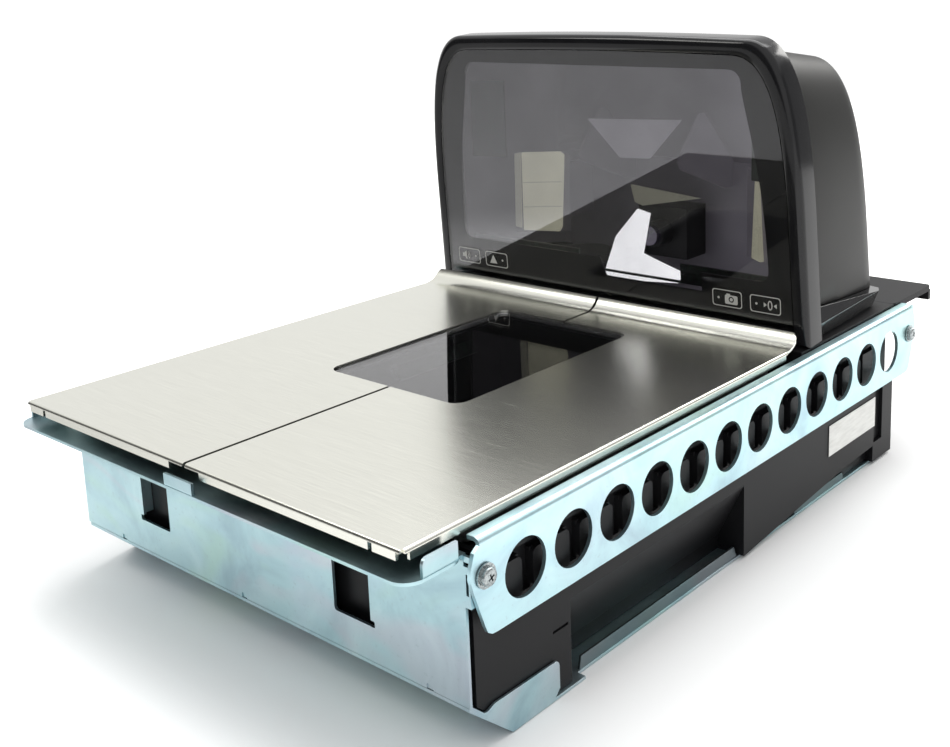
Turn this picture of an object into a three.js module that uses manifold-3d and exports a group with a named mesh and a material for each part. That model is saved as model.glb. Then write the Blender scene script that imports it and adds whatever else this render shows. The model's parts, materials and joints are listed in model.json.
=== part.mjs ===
// Flatbed (bi-optic) barcode scanner and scale for a shop checkout.
//
// Millimetres, +Z up. The finished group has its origin on the surface the scanner stands on, under the
// middle of its box: +X is the right side, -Y the front, where goods arrive, and +Y the tower end.
// Inside the group every piece is drawn with heights counted from the top of the weigh plates, which lie
// flush with the counter, and lengths counted from the plates' front edge.

import * as THREE from 'three';
import { mergeVertices } from 'three/addons/utils/BufferGeometryUtils.js';
import Module from 'manifold-3d';

const wasm = await Module();
wasm.setup();

// ---------------------------------------------------------------- driving dimensions
const gap = 0.3;                       // left between pieces that touch
const beyond = 200;                    // reach of a cutting block past every piece

const totalLength = 508;
const depthBelow = 108;                // standing surface to plate top
const floorZ = -depthBelow;

const plate = {
  half: 146,                           // two half plates make 292 mm
  slit: 1,                             // half the slit between them
  sheet: 1.5,
  flat: 308,                           // flat length, then the rear edge curls up
  lipRise: 8,
  lipReach: 10.2,
  flange: 5.2,
  flangeSpan: [4, 304],                // along the side
  frontSpans: [[12, 126], [128, 142]], // along the front edge, from the slit outwards
  corner: 3,
};

const glassCutOut = { half: 51, front: 131, rear: 283, radius: 8 };

const scanGlass = { inset: 0.8, top: -1.2, thick: 3.5 };
const scanSeal = { outer: [50, 132, 282], inner: [46, 136, 278], thick: 1.2 };
const scanFrame = { outer: [63.5, 112.5, 291.5], inner: [45, 137, 277], bottom: -12.7 };

const weigh = {
  top: -9,
  bottom: -20,
  outer: { half: 134, front: 46, rear: 312, radius: 10 },
  inner: { half: 104, front: 104, rear: 297, radius: 6 },
  travelRoom: 1.1,                     // free height over the load cell and the stops
};
const pad = { radius: 7, places: { outer_front: [120, 60], outer_rear: [120, 304.2],
  inner_front: [16, 75], inner_rear: [16, 304.2] } };
const cell = { half: 75, front: 62, rear: 92, bottom: -58, top: -34, slotHalf: 18, slotRadius: 8 };
const riser = { x: 55, half: 13 };
const pedestal = { x: -56, half: 16 };
const stop = { x: 119, radius: 5, places: { front: 80, rear: 280 } };

const rail = {
  outer: 155,
  sheet: 2,
  top: -5.5,
  bottom: -50.5,
  front: 34,
  rear: 458,
  flangeInner: 148,
  holeRadius: 13.5,
  holePitch: 32.9,
  holeCount: 12,
  firstHole: 62,
  holeZ: -29.3,
};
const screw = { front: [36.5, -22.5], rear: [454, -24.5], hole: 2.7, shank: 2.2, length: 8, washer: 5.6 };

const bracket = {
  sheet: 1.5,
  half: 151.7,
  front: -4,
  top: -12,
  corner: 9,
  panelY: 30,
  panelHalf: 149.4,
  panelBottom: -82.5,
  windowInner: 65.5,
  windowOuter: 90,
  windowTop: -34,
  windowBottom: -65.2,
};

const tub = {
  half: 147,
  wall: 3.5,
  front: 36.5,
  top: -14,
  bottom: -106.2,
  noseTop: -85.9,
  noseFoot: 59.2,
  recessFront: 100,                    // from here to recessRear the side walls lean in at the foot
  recessRear: 257,
  recessFootHalf: 130,
  recessFootHeight: 8,
  waist: -64,
  stepZ: -54,
  upperRear: 436,
  lowerRear: 449,
  rearRoomHalf: 138,
};
const tubFloor = tub.bottom + tub.wall;

const tray = { half: 148.8, sheet: 1.5, front: 30.4, nose: 57, wideRear: 109, deckHalf: 144, rear: 442 };

const board = { top: -88, thick: 1.6, half: 112, front: 330, rear: 442, postHalf: 100, postYs: [340, 425] };
const socket = { height: 13, front: 428, rear: 450.5, wall: 2, clearance: 0.5,
  places: { power: [-84, 20], host: [-40, 26], display: [8, 26] } };

const chassis = { half: 64, front: 112, rear: 292, top: -13, wall: 3 };

const tower = {
  faceY: 325.5,                        // the face where it meets plate height
  lean: 4.4 * Math.PI / 180,           // towards the front
  half: 148.4,
  height: 178.7,
  foot: -3.7,
  bezelDepth: 17.5,
  rebateDepth: 3.6,
  glassInset: 9.5,
  openingInset: 14,
};
const cover = {
  rear: 450,
  rearLean: 0.1,                       // the rear wall comes forward by this for each mm of height
  footFront: 17,
  footRear: 6,
  taper: 9.8,                          // the sides come in by this towards the rear
  taperPower: 1.45,
  topDrop: 13.8,
  edgeRadius: 14.5,
  edgePull: 0.3,
  edgeStart: 0.8,                      // share of the depth where the rear edge begins to round
  inset: 6,                            // from the bezel's outline in to the cover's
  wall: 2.5,
};
const plinth = { footInset: 4.5, ridge: 7.4, topInset: 10, wall: 9.5 };
const base = { half: 147.3, front: 320, rear: 447.2, top: -4, bottom: -13.7, wall: 3.5, topSheet: 4 };

// ---------------------------------------------------------------- finishes
const finishes = {
  steel: { color: 0xc9c9c2, roughness: 0.32, metalness: 1.0 },
  zinc: { color: 0xb4cfd6, roughness: 0.38, metalness: 0.9 },
  blackPlastic: { color: 0x2a2a2c, roughness: 0.6, metalness: 0.0 },
  glossBlack: { color: 0x141416, roughness: 0.12, metalness: 0.0 },
  greyPlastic: { color: 0x3d3d3f, roughness: 0.65, metalness: 0.0 },
  darkGlass: { color: 0x1b1c1e, roughness: 0.03, metalness: 0.1 },
  castMetal: { color: 0x9da0a2, roughness: 0.5, metalness: 0.9 },
  rubber: { color: 0x1a1a1a, roughness: 0.85, metalness: 0.0 },
  mirror: { color: 0xe6e8ea, roughness: 0.02, metalness: 1.0 },
  board: { color: 0x1f5a34, roughness: 0.5, metalness: 0.0 },
  lens: { color: 0x22202c, roughness: 0.05, metalness: 0.2 },
  label: { color: 0xe9e9e6, roughness: 0.7, metalness: 0.0 },
};

const materials = {};
for (const [name, values] of Object.entries(finishes)) {
  materials[name] = new THREE.MeshStandardMaterial({ ...values, name });
}

// ---------------------------------------------------------------- geometry helpers
function bare(geometry) {
  const plain = geometry.index ? geometry.toNonIndexed() : geometry.clone();
  plain.deleteAttribute('normal');
  plain.deleteAttribute('uv');
  return mergeVertices(plain, 1e-4);
}

function solid(geometry) {
  const merged = bare(geometry);
  return new wasm.Manifold(new wasm.Mesh({
    numProp: 3,
    vertProperties: new Float32Array(merged.attributes.position.array),
    triVerts: new Uint32Array(merged.index.array),
  }));
}

function toGeometry(manifold) {
  const mesh = manifold.getMesh();
  const geometry = new THREE.BufferGeometry();
  geometry.setAttribute('position', new THREE.BufferAttribute(new Float32Array(mesh.vertProperties), 3));
  geometry.setIndex(new THREE.BufferAttribute(new Uint32Array(mesh.triVerts), 1));
  return geometry;
}

function join(...geometries) {
  return geometries.map(solid).reduce((all, next) => all.add(next));
}

function cut(body, ...geometries) {
  return geometries.map(solid).reduce((rest, next) => rest.subtract(next), body);
}

function block(x0, x1, y0, y1, z0, z1) {
  const geometry = new THREE.BoxGeometry(Math.abs(x1 - x0), y1 - y0, z1 - z0);
  return geometry.translate((x0 + x1) / 2, (y0 + y1) / 2, (z0 + z1) / 2);
}

function extrude(shape, length, segments = 6) {
  return new THREE.ExtrudeGeometry(shape, { depth: length, bevelEnabled: false, curveSegments: segments });
}

// A shape drawn in (x, y), standing from z0 to z1.
function alongZ(shape, z0, z1, segments) {
  return extrude(shape, z1 - z0, segments).translate(0, 0, z0);
}

// A shape drawn in (y, z), running from x0 to x1.
function alongX(shape, x0, x1, segments) {
  const turn = new THREE.Matrix4().makeBasis(
    new THREE.Vector3(0, 1, 0), new THREE.Vector3(0, 0, 1), new THREE.Vector3(1, 0, 0));
  return extrude(shape, Math.abs(x1 - x0), segments).applyMatrix4(turn).translate(Math.min(x0, x1), 0, 0);
}

// A shape drawn in (x, z), running from y0 to y1.
function alongY(shape, y0, y1, segments) {
  return extrude(shape, y1 - y0, segments).rotateX(Math.PI / 2).translate(0, y1, 0);
}

function polygon(points) {
  return new THREE.Shape(points.map(([a, b]) => new THREE.Vector2(a, b)));
}

function roundedRect(x0, x1, y0, y1, radius) {
  const shape = new THREE.Shape();
  shape.moveTo(x0 + radius, y0);
  shape.absarc(x1 - radius, y0 + radius, radius, -Math.PI / 2, 0, false);
  shape.absarc(x1 - radius, y1 - radius, radius, 0, Math.PI / 2, false);
  shape.absarc(x0 + radius, y1 - radius, radius, Math.PI / 2, Math.PI, false);
  shape.absarc(x0 + radius, y0 + radius, radius, Math.PI, Math.PI * 1.5, false);
  return shape;
}

function circleHole(x, y, radius) {
  const path = new THREE.Path();
  path.absarc(x, y, radius, 0, Math.PI * 2, true);
  return path;
}

function ring(outer, inner) {
  outer.holes.push(inner);
  return outer;
}

function cylinder(radius, length, sides = 20) {
  return new THREE.CylinderGeometry(radius, radius, length, sides);
}

// A round bar from z0 to z1 at (x, y).
function post(x, y, z0, z1, radius, sides) {
  return cylinder(radius, z1 - z0, sides).rotateX(Math.PI / 2).translate(x, y, (z0 + z1) / 2);
}

// A rectangular slab turned by Euler angles about its own middle.
function slab(width, height, thick, position, turn) {
  const geometry = new THREE.BoxGeometry(width, height, thick);
  geometry.applyMatrix4(new THREE.Matrix4().makeRotationFromEuler(new THREE.Euler(...turn)));
  return geometry.translate(...position);
}

// A closed skin through rings with equal numbers of points, closed at both ends.
function loft(rings) {
  const count = rings[0].length;
  const vertices = rings.flat();
  const faces = [];
  for (let level = 0; level + 1 < rings.length; level += 1) {
    for (let step = 0; step < count; step += 1) {
      const a = level * count + step;
      const b = level * count + (step + 1) % count;
      faces.push(a, b, b + count, a, b + count, a + count);
    }
  }
  for (const end of [0, rings.length - 1]) {
    const centre = new THREE.Vector3();
    rings[end].forEach((point) => centre.add(point));
    vertices.push(centre.divideScalar(count));
    for (let step = 0; step < count; step += 1) {
      const a = end * count + step;
      const b = end * count + (step + 1) % count;
      faces.push(...(end === 0 ? [b, a, vertices.length - 1] : [a, b, vertices.length - 1]));
    }
  }
  const geometry = new THREE.BufferGeometry();
  const positions = vertices.flatMap((point) => point.toArray());
  geometry.setAttribute('position', new THREE.Float32BufferAttribute(positions, 3));
  geometry.setIndex(faces);
  return geometry;
}

function mirrored(geometry) {
  const flipped = bare(geometry).scale(-1, 1, 1);
  const index = flipped.index.array;
  for (let first = 0; first < index.length; first += 3) {
    const keep = index[first];
    index[first] = index[first + 1];
    index[first + 1] = keep;
  }
  return flipped;
}

const scanner = new THREE.Group();
const sides = [['right', 1], ['left', -1]];

function add(name, geometry, finish) {
  const clean = bare(geometry);
  clean.computeVertexNormals();
  const mesh = new THREE.Mesh(clean, materials[finish]);
  mesh.name = name;
  scanner.add(mesh);
}

// A piece made for the right side, and its mirror image for the left.
function addPair(part, geometry, finish) {
  add(`right_${part}`, geometry, finish);
  add(`left_${part}`, mirrored(geometry), finish);
}

// ---------------------------------------------------------------- weigh plates
// One half of the stainless platter: flat sheet, curled rear lip, folded front and side flanges.
function rightPlate() {
  const lipEnd = plate.flat + plate.lipReach;
  const profile = new THREE.Shape();
  profile.moveTo(0, 0);
  profile.lineTo(0, -plate.sheet);
  profile.lineTo(plate.flat, -plate.sheet);
  profile.quadraticCurveTo(plate.flat + 6, -plate.sheet, lipEnd, plate.lipRise - 1.1);
  profile.lineTo(lipEnd - 1.3, plate.lipRise);
  profile.quadraticCurveTo(plate.flat + 5, 0, plate.flat - 1, 0);
  const flangeTop = -0.2;              // the flanges run up into the sheet
  const parts = [alongX(profile, plate.slit, plate.half, 6)];
  parts.push(block(plate.half - plate.sheet, plate.half, ...plate.flangeSpan, -plate.flange, flangeTop));
  for (const [from, to] of plate.frontSpans) {
    parts.push(block(from, to, 0, plate.sheet, -plate.flange, flangeTop));
  }
  const { half, front, rear, radius } = glassCutOut;
  const opening = alongZ(roundedRect(-half, half, front, rear, radius), -beyond, beyond);
  const outline = alongZ(roundedRect(-beyond, plate.half, 0, lipEnd + 3, plate.corner), -beyond, beyond);
  return toGeometry(cut(join(...parts), opening).intersect(solid(outline)));
}
addPair('plate', rightPlate(), 'steel');

// ---------------------------------------------------------------- weigh frame on its load cell
function frameRing({ half, front, rear, radius }) {
  return roundedRect(-half, half, front, rear, radius);
}
add('weigh_frame', alongZ(ring(frameRing(weigh.outer), frameRing(weigh.inner)), weigh.bottom, weigh.top),
  'castMetal');

for (const [place, [x, y]] of Object.entries(pad.places)) {
  addPair(`pad_${place}`, post(x, y, weigh.top + gap, -plate.sheet - gap, pad.radius, 16), 'rubber');
}

add('load_cell_riser', block(riser.x - riser.half, riser.x + riser.half, cell.front, cell.rear,
  cell.top + weigh.travelRoom, weigh.bottom - gap), 'castMetal');

// An aluminium bar with the long slot that lets it bend.
function loadCell() {
  const bar = polygon([[-cell.half, cell.bottom], [cell.half, cell.bottom], [cell.half, cell.top],
    [-cell.half, cell.top]]);
  const slot = new THREE.Path();
  const middle = (cell.bottom + cell.top) / 2;
  slot.absarc(-cell.slotHalf, middle, cell.slotRadius, Math.PI * 0.5, Math.PI * 1.5, false);
  slot.absarc(cell.slotHalf, middle, cell.slotRadius, -Math.PI * 0.5, Math.PI * 0.5, false);
  return alongY(ring(bar, slot), cell.front, cell.rear, 8);
}
add('load_cell', loadCell(), 'castMetal');

for (const [place, y] of Object.entries(stop.places)) {
  addPair(`${place}_stop`, post(stop.x, y, tubFloor + gap, weigh.bottom - weigh.travelRoom, stop.radius, 10),
    'zinc');
}

// ---------------------------------------------------------------- scan glass in the flat bed
function glassPlan() {
  const { half, front, rear, radius } = glassCutOut;
  const { inset } = scanGlass;
  return roundedRect(-half + inset, half - inset, front + inset, rear - inset, radius - inset);
}

function bedRing([outerHalf, outerFront, outerRear], [innerHalf, innerFront, innerRear], z0, z1) {
  const outer = roundedRect(-outerHalf, outerHalf, outerFront, outerRear, 6);
  return alongZ(ring(outer, roundedRect(-innerHalf, innerHalf, innerFront, innerRear, 4)), z0, z1);
}

const sealTop = scanGlass.top - scanGlass.thick - gap;
const sealBottom = sealTop - scanSeal.thick;
add('horizontal_glass', alongZ(glassPlan(), scanGlass.top - scanGlass.thick, scanGlass.top), 'darkGlass');
add('horizontal_glass_seal', bedRing(scanSeal.outer, scanSeal.inner, sealBottom, sealTop), 'rubber');
add('horizontal_glass_frame', bedRing(scanFrame.outer, scanFrame.inner, scanFrame.bottom, sealBottom - gap),
  'blackPlastic');

// ---------------------------------------------------------------- housing tub
// Cross-section between the recesses: the side walls lean in from the waist to a narrower foot.
function recessSection(half, waist, top, bottom, footHalf) {
  const footTop = bottom + tub.recessFootHeight;
  return polygon([[-footHalf, bottom], [footHalf, bottom], [footHalf, footTop], [half, waist], [half, top],
    [-half, top], [-half, waist], [-footHalf, footTop]]);
}

function housingOutside() {
  const { half, front, top, bottom, noseTop, noseFoot, recessFront, recessRear, recessFootHalf } = tub;
  const frontSide = polygon([[front, top], [front, noseTop], [noseFoot, bottom], [recessFront + 1, bottom],
    [recessFront + 1, top]]);
  const rearSide = polygon([[recessRear - 1, top], [recessRear - 1, bottom], [tub.lowerRear, bottom],
    [tub.lowerRear, tub.stepZ], [tub.upperRear, tub.stepZ], [tub.upperRear, top]]);
  const section = recessSection(half, tub.waist, top, bottom, recessFootHalf);
  return join(alongX(frontSide, -half, half), alongY(section, recessFront, recessRear),
    alongX(rearSide, -half, half));
}

function housingRooms() {
  const { wall, waist, noseTop, noseFoot, recessFront, recessRear, stepZ, rearRoomHalf } = tub;
  const inner = tub.half - wall;
  const front = tub.front + wall;
  const frontSide = polygon([[front, 0], [front, noseTop + 1.6], [noseFoot + 1.4, tubFloor],
    [recessFront - wall, tubFloor], [recessFront - wall, 0]]);
  const rearSide = polygon([[recessRear + wall, 0], [recessRear + wall, tubFloor],
    [tub.lowerRear - wall, tubFloor], [tub.lowerRear - wall, stepZ - wall],
    [tub.upperRear - wall, stepZ - wall], [tub.upperRear - wall, 0]]);
  const section = recessSection(inner, waist + 1, 0, tubFloor, tub.recessFootHalf - wall);
  return [alongX(frontSide, -inner, inner), alongY(section, recessFront - wall - 1, recessRear + wall + 1),
    alongX(rearSide, -rearRoomHalf, rearRoomHalf)];
}

// The sides are hollowed from below between these points, which leaves a leg at the rear.
const arch = [[262, -120], [262, -106], [382, -96], [421, -95], [421, -120]];
const archDepth = 5.3;

function housingTub() {
  const { half } = tub;
  let shell = cut(housingOutside(), ...housingRooms());
  for (const [, side] of sides) {
    shell = cut(shell, alongX(polygon(arch), side * (half - archDepth), side * beyond));
  }
  for (const [x, width] of Object.values(socket.places)) {
    const { clearance, height } = socket;
    shell = cut(shell, block(x - clearance, x + width + clearance, board.rear - 2, socket.rear + 10,
      board.top - clearance, board.top + height + 2 * clearance));
  }
  const posts = board.postYs.flatMap((y) => [-1, 1].map((side) => (
    post(side * board.postHalf, y, tubFloor - 1, board.top - board.thick - gap, 4, 10))));
  const { x } = pedestal;
  const cellSeat = block(x - pedestal.half, x + pedestal.half, cell.front, cell.rear + 2, tubFloor - 1,
    cell.bottom - gap);
  return toGeometry(posts.concat(cellSeat).reduce((all, next) => all.add(solid(next)), shell));
}
add('housing_tub', housingTub(), 'blackPlastic');
add('side_label', block(tub.half + gap, tub.half + 2 * gap, 357, 422, -81, -61), 'label');

// ---------------------------------------------------------------- electronics in the tub
add('main_board', block(-board.half, board.half, board.front, board.rear, board.top - board.thick, board.top),
  'board');

function socketShell(x, width) {
  const bottom = board.top + gap;
  const { height, front, rear, wall } = socket;
  const body = solid(block(x, x + width, front, rear, bottom, bottom + height));
  return toGeometry(cut(body, block(x + wall, x + width - wall, front + 10, rear + 10, bottom + wall,
    bottom + height - wall)));
}
for (const [name, [x, width]] of Object.entries(socket.places)) {
  add(`${name}_socket`, socketShell(x, width), name === 'power' ? 'blackPlastic' : 'zinc');
}

// ---------------------------------------------------------------- optics under the flat glass
const quarter = Math.PI / 4;
const foldMirror = { width: 96, length: 74, thick: 3, y: 150, z: -69 };
const lowerCameraAt = [0, 268, -76];

// An open-topped box with a hole for the camera and two ribs that carry the fold mirror.
function opticsChassis() {
  const { half, front, rear, top, wall } = chassis;
  const bottom = tubFloor + gap;
  const floor = bottom + wall;
  const outside = solid(block(-half, half, front, rear, bottom, top));
  const room = block(-half + wall, half - wall, front + wall, rear - wall, floor, top + 5);
  const cameraHole = block(-24, 24, rear - wall - 5, rear + 5, -96, -56);
  const rib = polygon([[120, floor - 1], [180, floor - 1], [180, -40], [174, -40], [120, -92]]);
  const ribInner = foldMirror.width / 2 + gap;
  return toGeometry([-1, 1].reduce((all, side) => (
    all.add(solid(alongX(rib, side * ribInner, side * (ribInner + 2))))), cut(outside, room, cameraHole)));
}
add('optics_chassis', opticsChassis(), 'blackPlastic');
add('lower_fold_mirror', slab(foldMirror.width, foldMirror.length, foldMirror.thick,
  [0, foldMirror.y, foldMirror.z], [quarter, 0, 0]), 'mirror');
for (const [side, sign] of sides) {
  add(`lower_led_board_${side}`, slab(3, 70, 12, [sign * 56, 222, -21], [0, sign * 0.5, 0]), 'board');
}

// A camera block that looks forward: its mount stands out in front, and its lens in front of that.
const cameraBlock = { half: 20, depth: 24, halfHeight: 18, mountRadius: 9, mountLength: 14, lensRadius: 7,
  lensLength: 5 };

function cameraBody([x, y, z]) {
  const { half, depth, halfHeight, mountRadius, mountLength } = cameraBlock;
  const body = block(x - half, x + half, y, y + depth, z - halfHeight, z + halfHeight);
  return toGeometry(join(body, cylinder(mountRadius, mountLength).translate(x, y - 5, z)));
}

function cameraLens([x, y, z]) {
  const { lensRadius, lensLength, mountLength } = cameraBlock;
  return cylinder(lensRadius, lensLength).translate(x, y - 5 - (mountLength + lensLength) / 2 - gap, z);
}
add('lower_camera', cameraBody(lowerCameraAt), 'blackPlastic');
add('lower_camera_lens', cameraLens(lowerCameraAt), 'lens');

// ---------------------------------------------------------------- sheet-metal tray under the housing
// A sloping nose, a flat deck, side gussets at the nose and low strips along the sides.
function baseTray() {
  const { half, sheet, front, nose, wideRear, deckHalf, rear } = tray;
  const noseTop = bracket.panelBottom - 0.4;
  const noseSide = polygon([[front, noseTop], [front + 2, noseTop], [nose + 1.2, floorZ + sheet],
    [wideRear, floorZ + sheet], [wideRear, floorZ], [nose, floorZ], [front, noseTop - 1.9]]);
  const gusset = polygon([[31.5, -84.2], [38, -89.6], [45, -88.2], [90, -88.8], [90, -103], [86, -107.2],
    [nose, -107.2]]);
  const strips = [[111, 254.5, 8], [321, 387, 6.4]];
  const parts = [alongX(noseSide, -half, half), block(-deckHalf, deckHalf, wideRear - 1, rear, floorZ,
    floorZ + sheet)];
  for (const [, side] of sides) {
    parts.push(alongX(gusset, side * (half - sheet), side * half));
    for (const [from, to, height] of strips) {
      const outer = deckHalf - 0.5;
      parts.push(block(side * (outer - sheet), side * outer, from, to, floorZ + 1, floorZ + height));
    }
  }
  return toGeometry(join(...parts));
}
add('base_tray', baseTray(), 'zinc');

// ---------------------------------------------------------------- front bracket
function frontBracket() {
  const { sheet, half, front, top, corner, panelY, panelHalf, panelBottom } = bracket;
  const { windowInner, windowOuter, windowTop, windowBottom } = bracket;
  const tongueDepth = 6;
  const tongueBottom = -61;
  const wingBottom = -36;
  const wingRear = 50;
  const into = top - 1;                // the upright parts run up into the flange
  let body = join(alongZ(roundedRect(-half, half, front, panelY + 1, corner), top - sheet, top),
    block(-panelHalf, panelHalf, panelY, panelY + sheet, panelBottom, top),
    block(-11, 11, front, front + sheet, into, top + 6));
  for (const [, side] of sides) {
    const window = block(side * windowInner, side * windowOuter, panelY - 5, panelY + 5, windowBottom,
      windowTop);
    const tongue = block(side * windowOuter, side * (windowOuter + sheet), panelY, panelY + tongueDepth,
      tongueBottom, windowTop);
    const tab = block(side * (half - sheet), side * half, 7, 28, into, top + 7);
    const shoulder = block(side * 148, side * (half + 1), panelY, panelY + sheet, wingBottom, into);
    const wing = block(side * (half - 0.5), side * (half + 1), panelY, wingRear, wingBottom, into);
    const hole = cylinder(screw.hole, 10, 16).rotateZ(Math.PI / 2).translate(side * half, ...screw.front);
    body = cut(body, window).add(join(tongue, tab, shoulder, wing).subtract(solid(hole)));
  }
  return toGeometry(body);
}
add('front_bracket', frontBracket(), 'zinc');

// ---------------------------------------------------------------- perforated side rails
// Both ends bulge around the screw and slant in towards the bottom edge.
function railWeb() {
  const { top, bottom, front, rear } = rail;
  const web = new THREE.Shape();
  web.moveTo(front, top);
  web.lineTo(front - 4, -10);
  web.quadraticCurveTo(front - 7, -20, front - 4.5, -27);
  web.lineTo(front + 1.5, -45);
  web.quadraticCurveTo(front + 3.5, bottom, front + 9, bottom);
  web.lineTo(rear - 12, bottom);
  web.quadraticCurveTo(rear - 6, bottom, rear - 3.5, -45);
  web.lineTo(rear + 3, -27);
  web.quadraticCurveTo(rear + 6, -20, rear + 3, -10);
  web.lineTo(rear, top);
  for (let hole = 0; hole < rail.holeCount; hole += 1) {
    web.holes.push(circleHole(rail.firstHole + hole * rail.holePitch, rail.holeZ, rail.holeRadius));
  }
  for (const [y, z] of [screw.front, screw.rear]) {
    web.holes.push(circleHole(y, z, screw.hole));
  }
  return web;
}

function rightRail() {
  const { outer, sheet, top, flangeInner, front, rear } = rail;
  return toGeometry(join(alongX(railWeb(), outer - sheet, outer, 12),
    block(flangeInner, outer, front, rear, top - sheet, top)));
}
addPair('rail', rightRail(), 'zinc');

function railScrew([y, z]) {
  const { shank, length, washer } = screw;
  const profile = [[0, 0], [shank, 0], [shank, length], [washer, length], [washer, length + 0.9],
    [4, length + 0.9], [4, length + 2], [3, length + 3], [0, length + 3.4]];
  const points = profile.map(([radius, along]) => new THREE.Vector2(radius, along));
  return new THREE.LatheGeometry(points, 16).rotateZ(-Math.PI / 2).translate(rail.outer + gap - length, y, z);
}
addPair('rail_front_screw', railScrew(screw.front), 'zinc');
addPair('rail_rear_screw', railScrew(screw.rear), 'zinc');

// An angle that ties the rail's rear end to the tower base.
function rearBracket() {
  const outer = rail.outer - rail.sheet - gap;
  const front = 443;
  const rear = 466;
  const top = -8.3;
  const sheet = 2;
  const upright = polygon([[front, -36], [rear, -36], [rear, top], [front, top]]);
  const drilled = ring(upright, circleHole(...screw.rear, screw.hole));
  const leg = block(125, outer, base.rear + 5.8, rear, top - sheet, top);
  return toGeometry(join(alongX(drilled, outer - sheet, outer, 8), leg));
}
addPair('rear_bracket', rearBracket(), 'zinc');

// ---------------------------------------------------------------- tower base and rear deck
function towerBase() {
  const { half, front, rear, top, bottom, wall, topSheet } = base;
  const box = solid(block(-half, half, front, rear, bottom, top));
  const inner = half - wall - gap;
  const room = block(-inner, inner, front + wall, rear - wall, bottom - 5, top - topSheet);
  const opening = block(-118, 118, 350, 378, bottom - 5, top + 5);
  const tongue = block(-120, 120, rear - 2, totalLength - 13, bottom, top - topSheet - gap);
  return toGeometry(cut(box, room, opening).add(solid(tongue)));
}
add('tower_base', towerBase(), 'glossBlack');

function rearDeck() {
  const { half, rear, top, topSheet } = base;
  const plan = roundedRect(-half, half, rear + gap, totalLength, 3);
  const lip = block(-half, half, totalLength - 4, totalLength - 0.6, top - 10, top - topSheet + 1);
  return toGeometry(join(alongZ(plan, top - topSheet, top), lip));
}
add('rear_deck', rearDeck(), 'greyPlastic');

// ---------------------------------------------------------------- tower: bezel, glass and seal
// Outline of the tower's face in (x, height), drawn smaller by the inset on every side.
function towerOutline(inset, bottom = tower.foot + inset) {
  const { half, height } = tower;
  const across = (half - inset) / half;
  const rise = (height - inset - bottom) / height;
  const at = (x, level) => [x * across, bottom + level * rise];
  const shape = new THREE.Shape();
  shape.moveTo(...at(-half, 0));
  shape.lineTo(...at(half, 0));
  shape.lineTo(...at(146.4, 76));
  shape.quadraticCurveTo(...at(144.6, 136), ...at(134.5, 158));
  shape.quadraticCurveTo(...at(126.5, 176.6), ...at(112, 177.2));
  shape.quadraticCurveTo(...at(0, 180.2), ...at(-112, 177.2));
  shape.quadraticCurveTo(...at(-126.5, 176.6), ...at(-134.5, 158));
  shape.quadraticCurveTo(...at(-144.6, 136), ...at(-146.4, 76));
  return shape;
}

// A tower outline standing from depth0 to depth1 behind the leaning face.
function leaning(shape, depth0, depth1, segments = 6) {
  return alongY(shape, depth0, depth1, segments).rotateX(tower.lean).translate(0, tower.faceY, 0);
}

function towerBezel() {
  const { bezelDepth, rebateDepth, glassInset, openingInset, foot } = tower;
  const body = solid(leaning(towerOutline(0, foot - 4.3), 0, bezelDepth));
  const rebate = leaning(towerOutline(glassInset - gap), -5, rebateDepth);
  const opening = leaning(towerOutline(openingInset), -5, bezelDepth + 5);
  const under = block(-beyond, beyond, 250, 480, -60, foot);
  return toGeometry(cut(body, rebate, opening, under));
}
add('tower_bezel', towerBezel(), 'glossBlack');
add('vertical_glass', leaning(towerOutline(tower.glassInset), 0.2, 2.6), 'darkGlass');
add('vertical_glass_seal', leaning(ring(towerOutline(10), towerOutline(13)), 2.9, 3.4), 'rubber');

// ---------------------------------------------------------------- tower: rear cover and plinth
const seamSlope = Math.tan(tower.lean);
const seamBase = tower.faceY + tower.bezelDepth / Math.cos(tower.lean) + gap;
const seamY = (height) => seamBase - height * seamSlope;

// Rings from the seam to the rear wall, each the tower's outline drawn in, lowered and rounded off.
function coverRings(wall) {
  const { rear, rearLean, taper, taperPower, topDrop, edgeRadius, edgePull, edgeStart, inset } = cover;
  const outline = towerOutline(inset + wall, -30).getPoints(5);
  const stations = [[wall ? -0.2 : 0, 0], [0.3, 0], [0.6, 0], [edgeStart, 0]];
  for (const degrees of [25, 50, 70, 90]) {
    const angle = THREE.MathUtils.degToRad(degrees);
    stations.push([edgeStart + (1 - edgeStart) * Math.sin(angle), edgeRadius * (1 - Math.cos(angle))]);
  }
  return stations.map(([along, round]) => outline.map((point) => {
    const height = point.y;
    const above = Math.max(height, 0);
    const depth = rear - wall - rearLean * above - seamY(height);
    const pulledIn = taper * Math.max(along, 0) ** taperPower + edgePull * round;
    const drop = (topDrop * Math.max(along, 0) + round) * above / tower.height;
    const x = point.x * (1 - pulledIn / tower.half);
    return new THREE.Vector3(x, seamY(height) + along * depth, height - drop);
  })).reverse();
}

// The seam between cover and plinth slopes down to the rear, in (y, height).
const footSeam = [[300, cover.footFront + 4.4], [520, cover.footRear - 7.2]];

function towerCover() {
  const shell = solid(loft(coverRings(0))).subtract(solid(loft(coverRings(cover.wall))));
  const below = polygon([footSeam[0], [footSeam[0][0], -80], [footSeam[1][0], -80], footSeam[1]]);
  return toGeometry(cut(shell, alongX(below, -beyond, beyond)));
}
add('tower_cover', towerCover(), 'greyPlastic');

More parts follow.
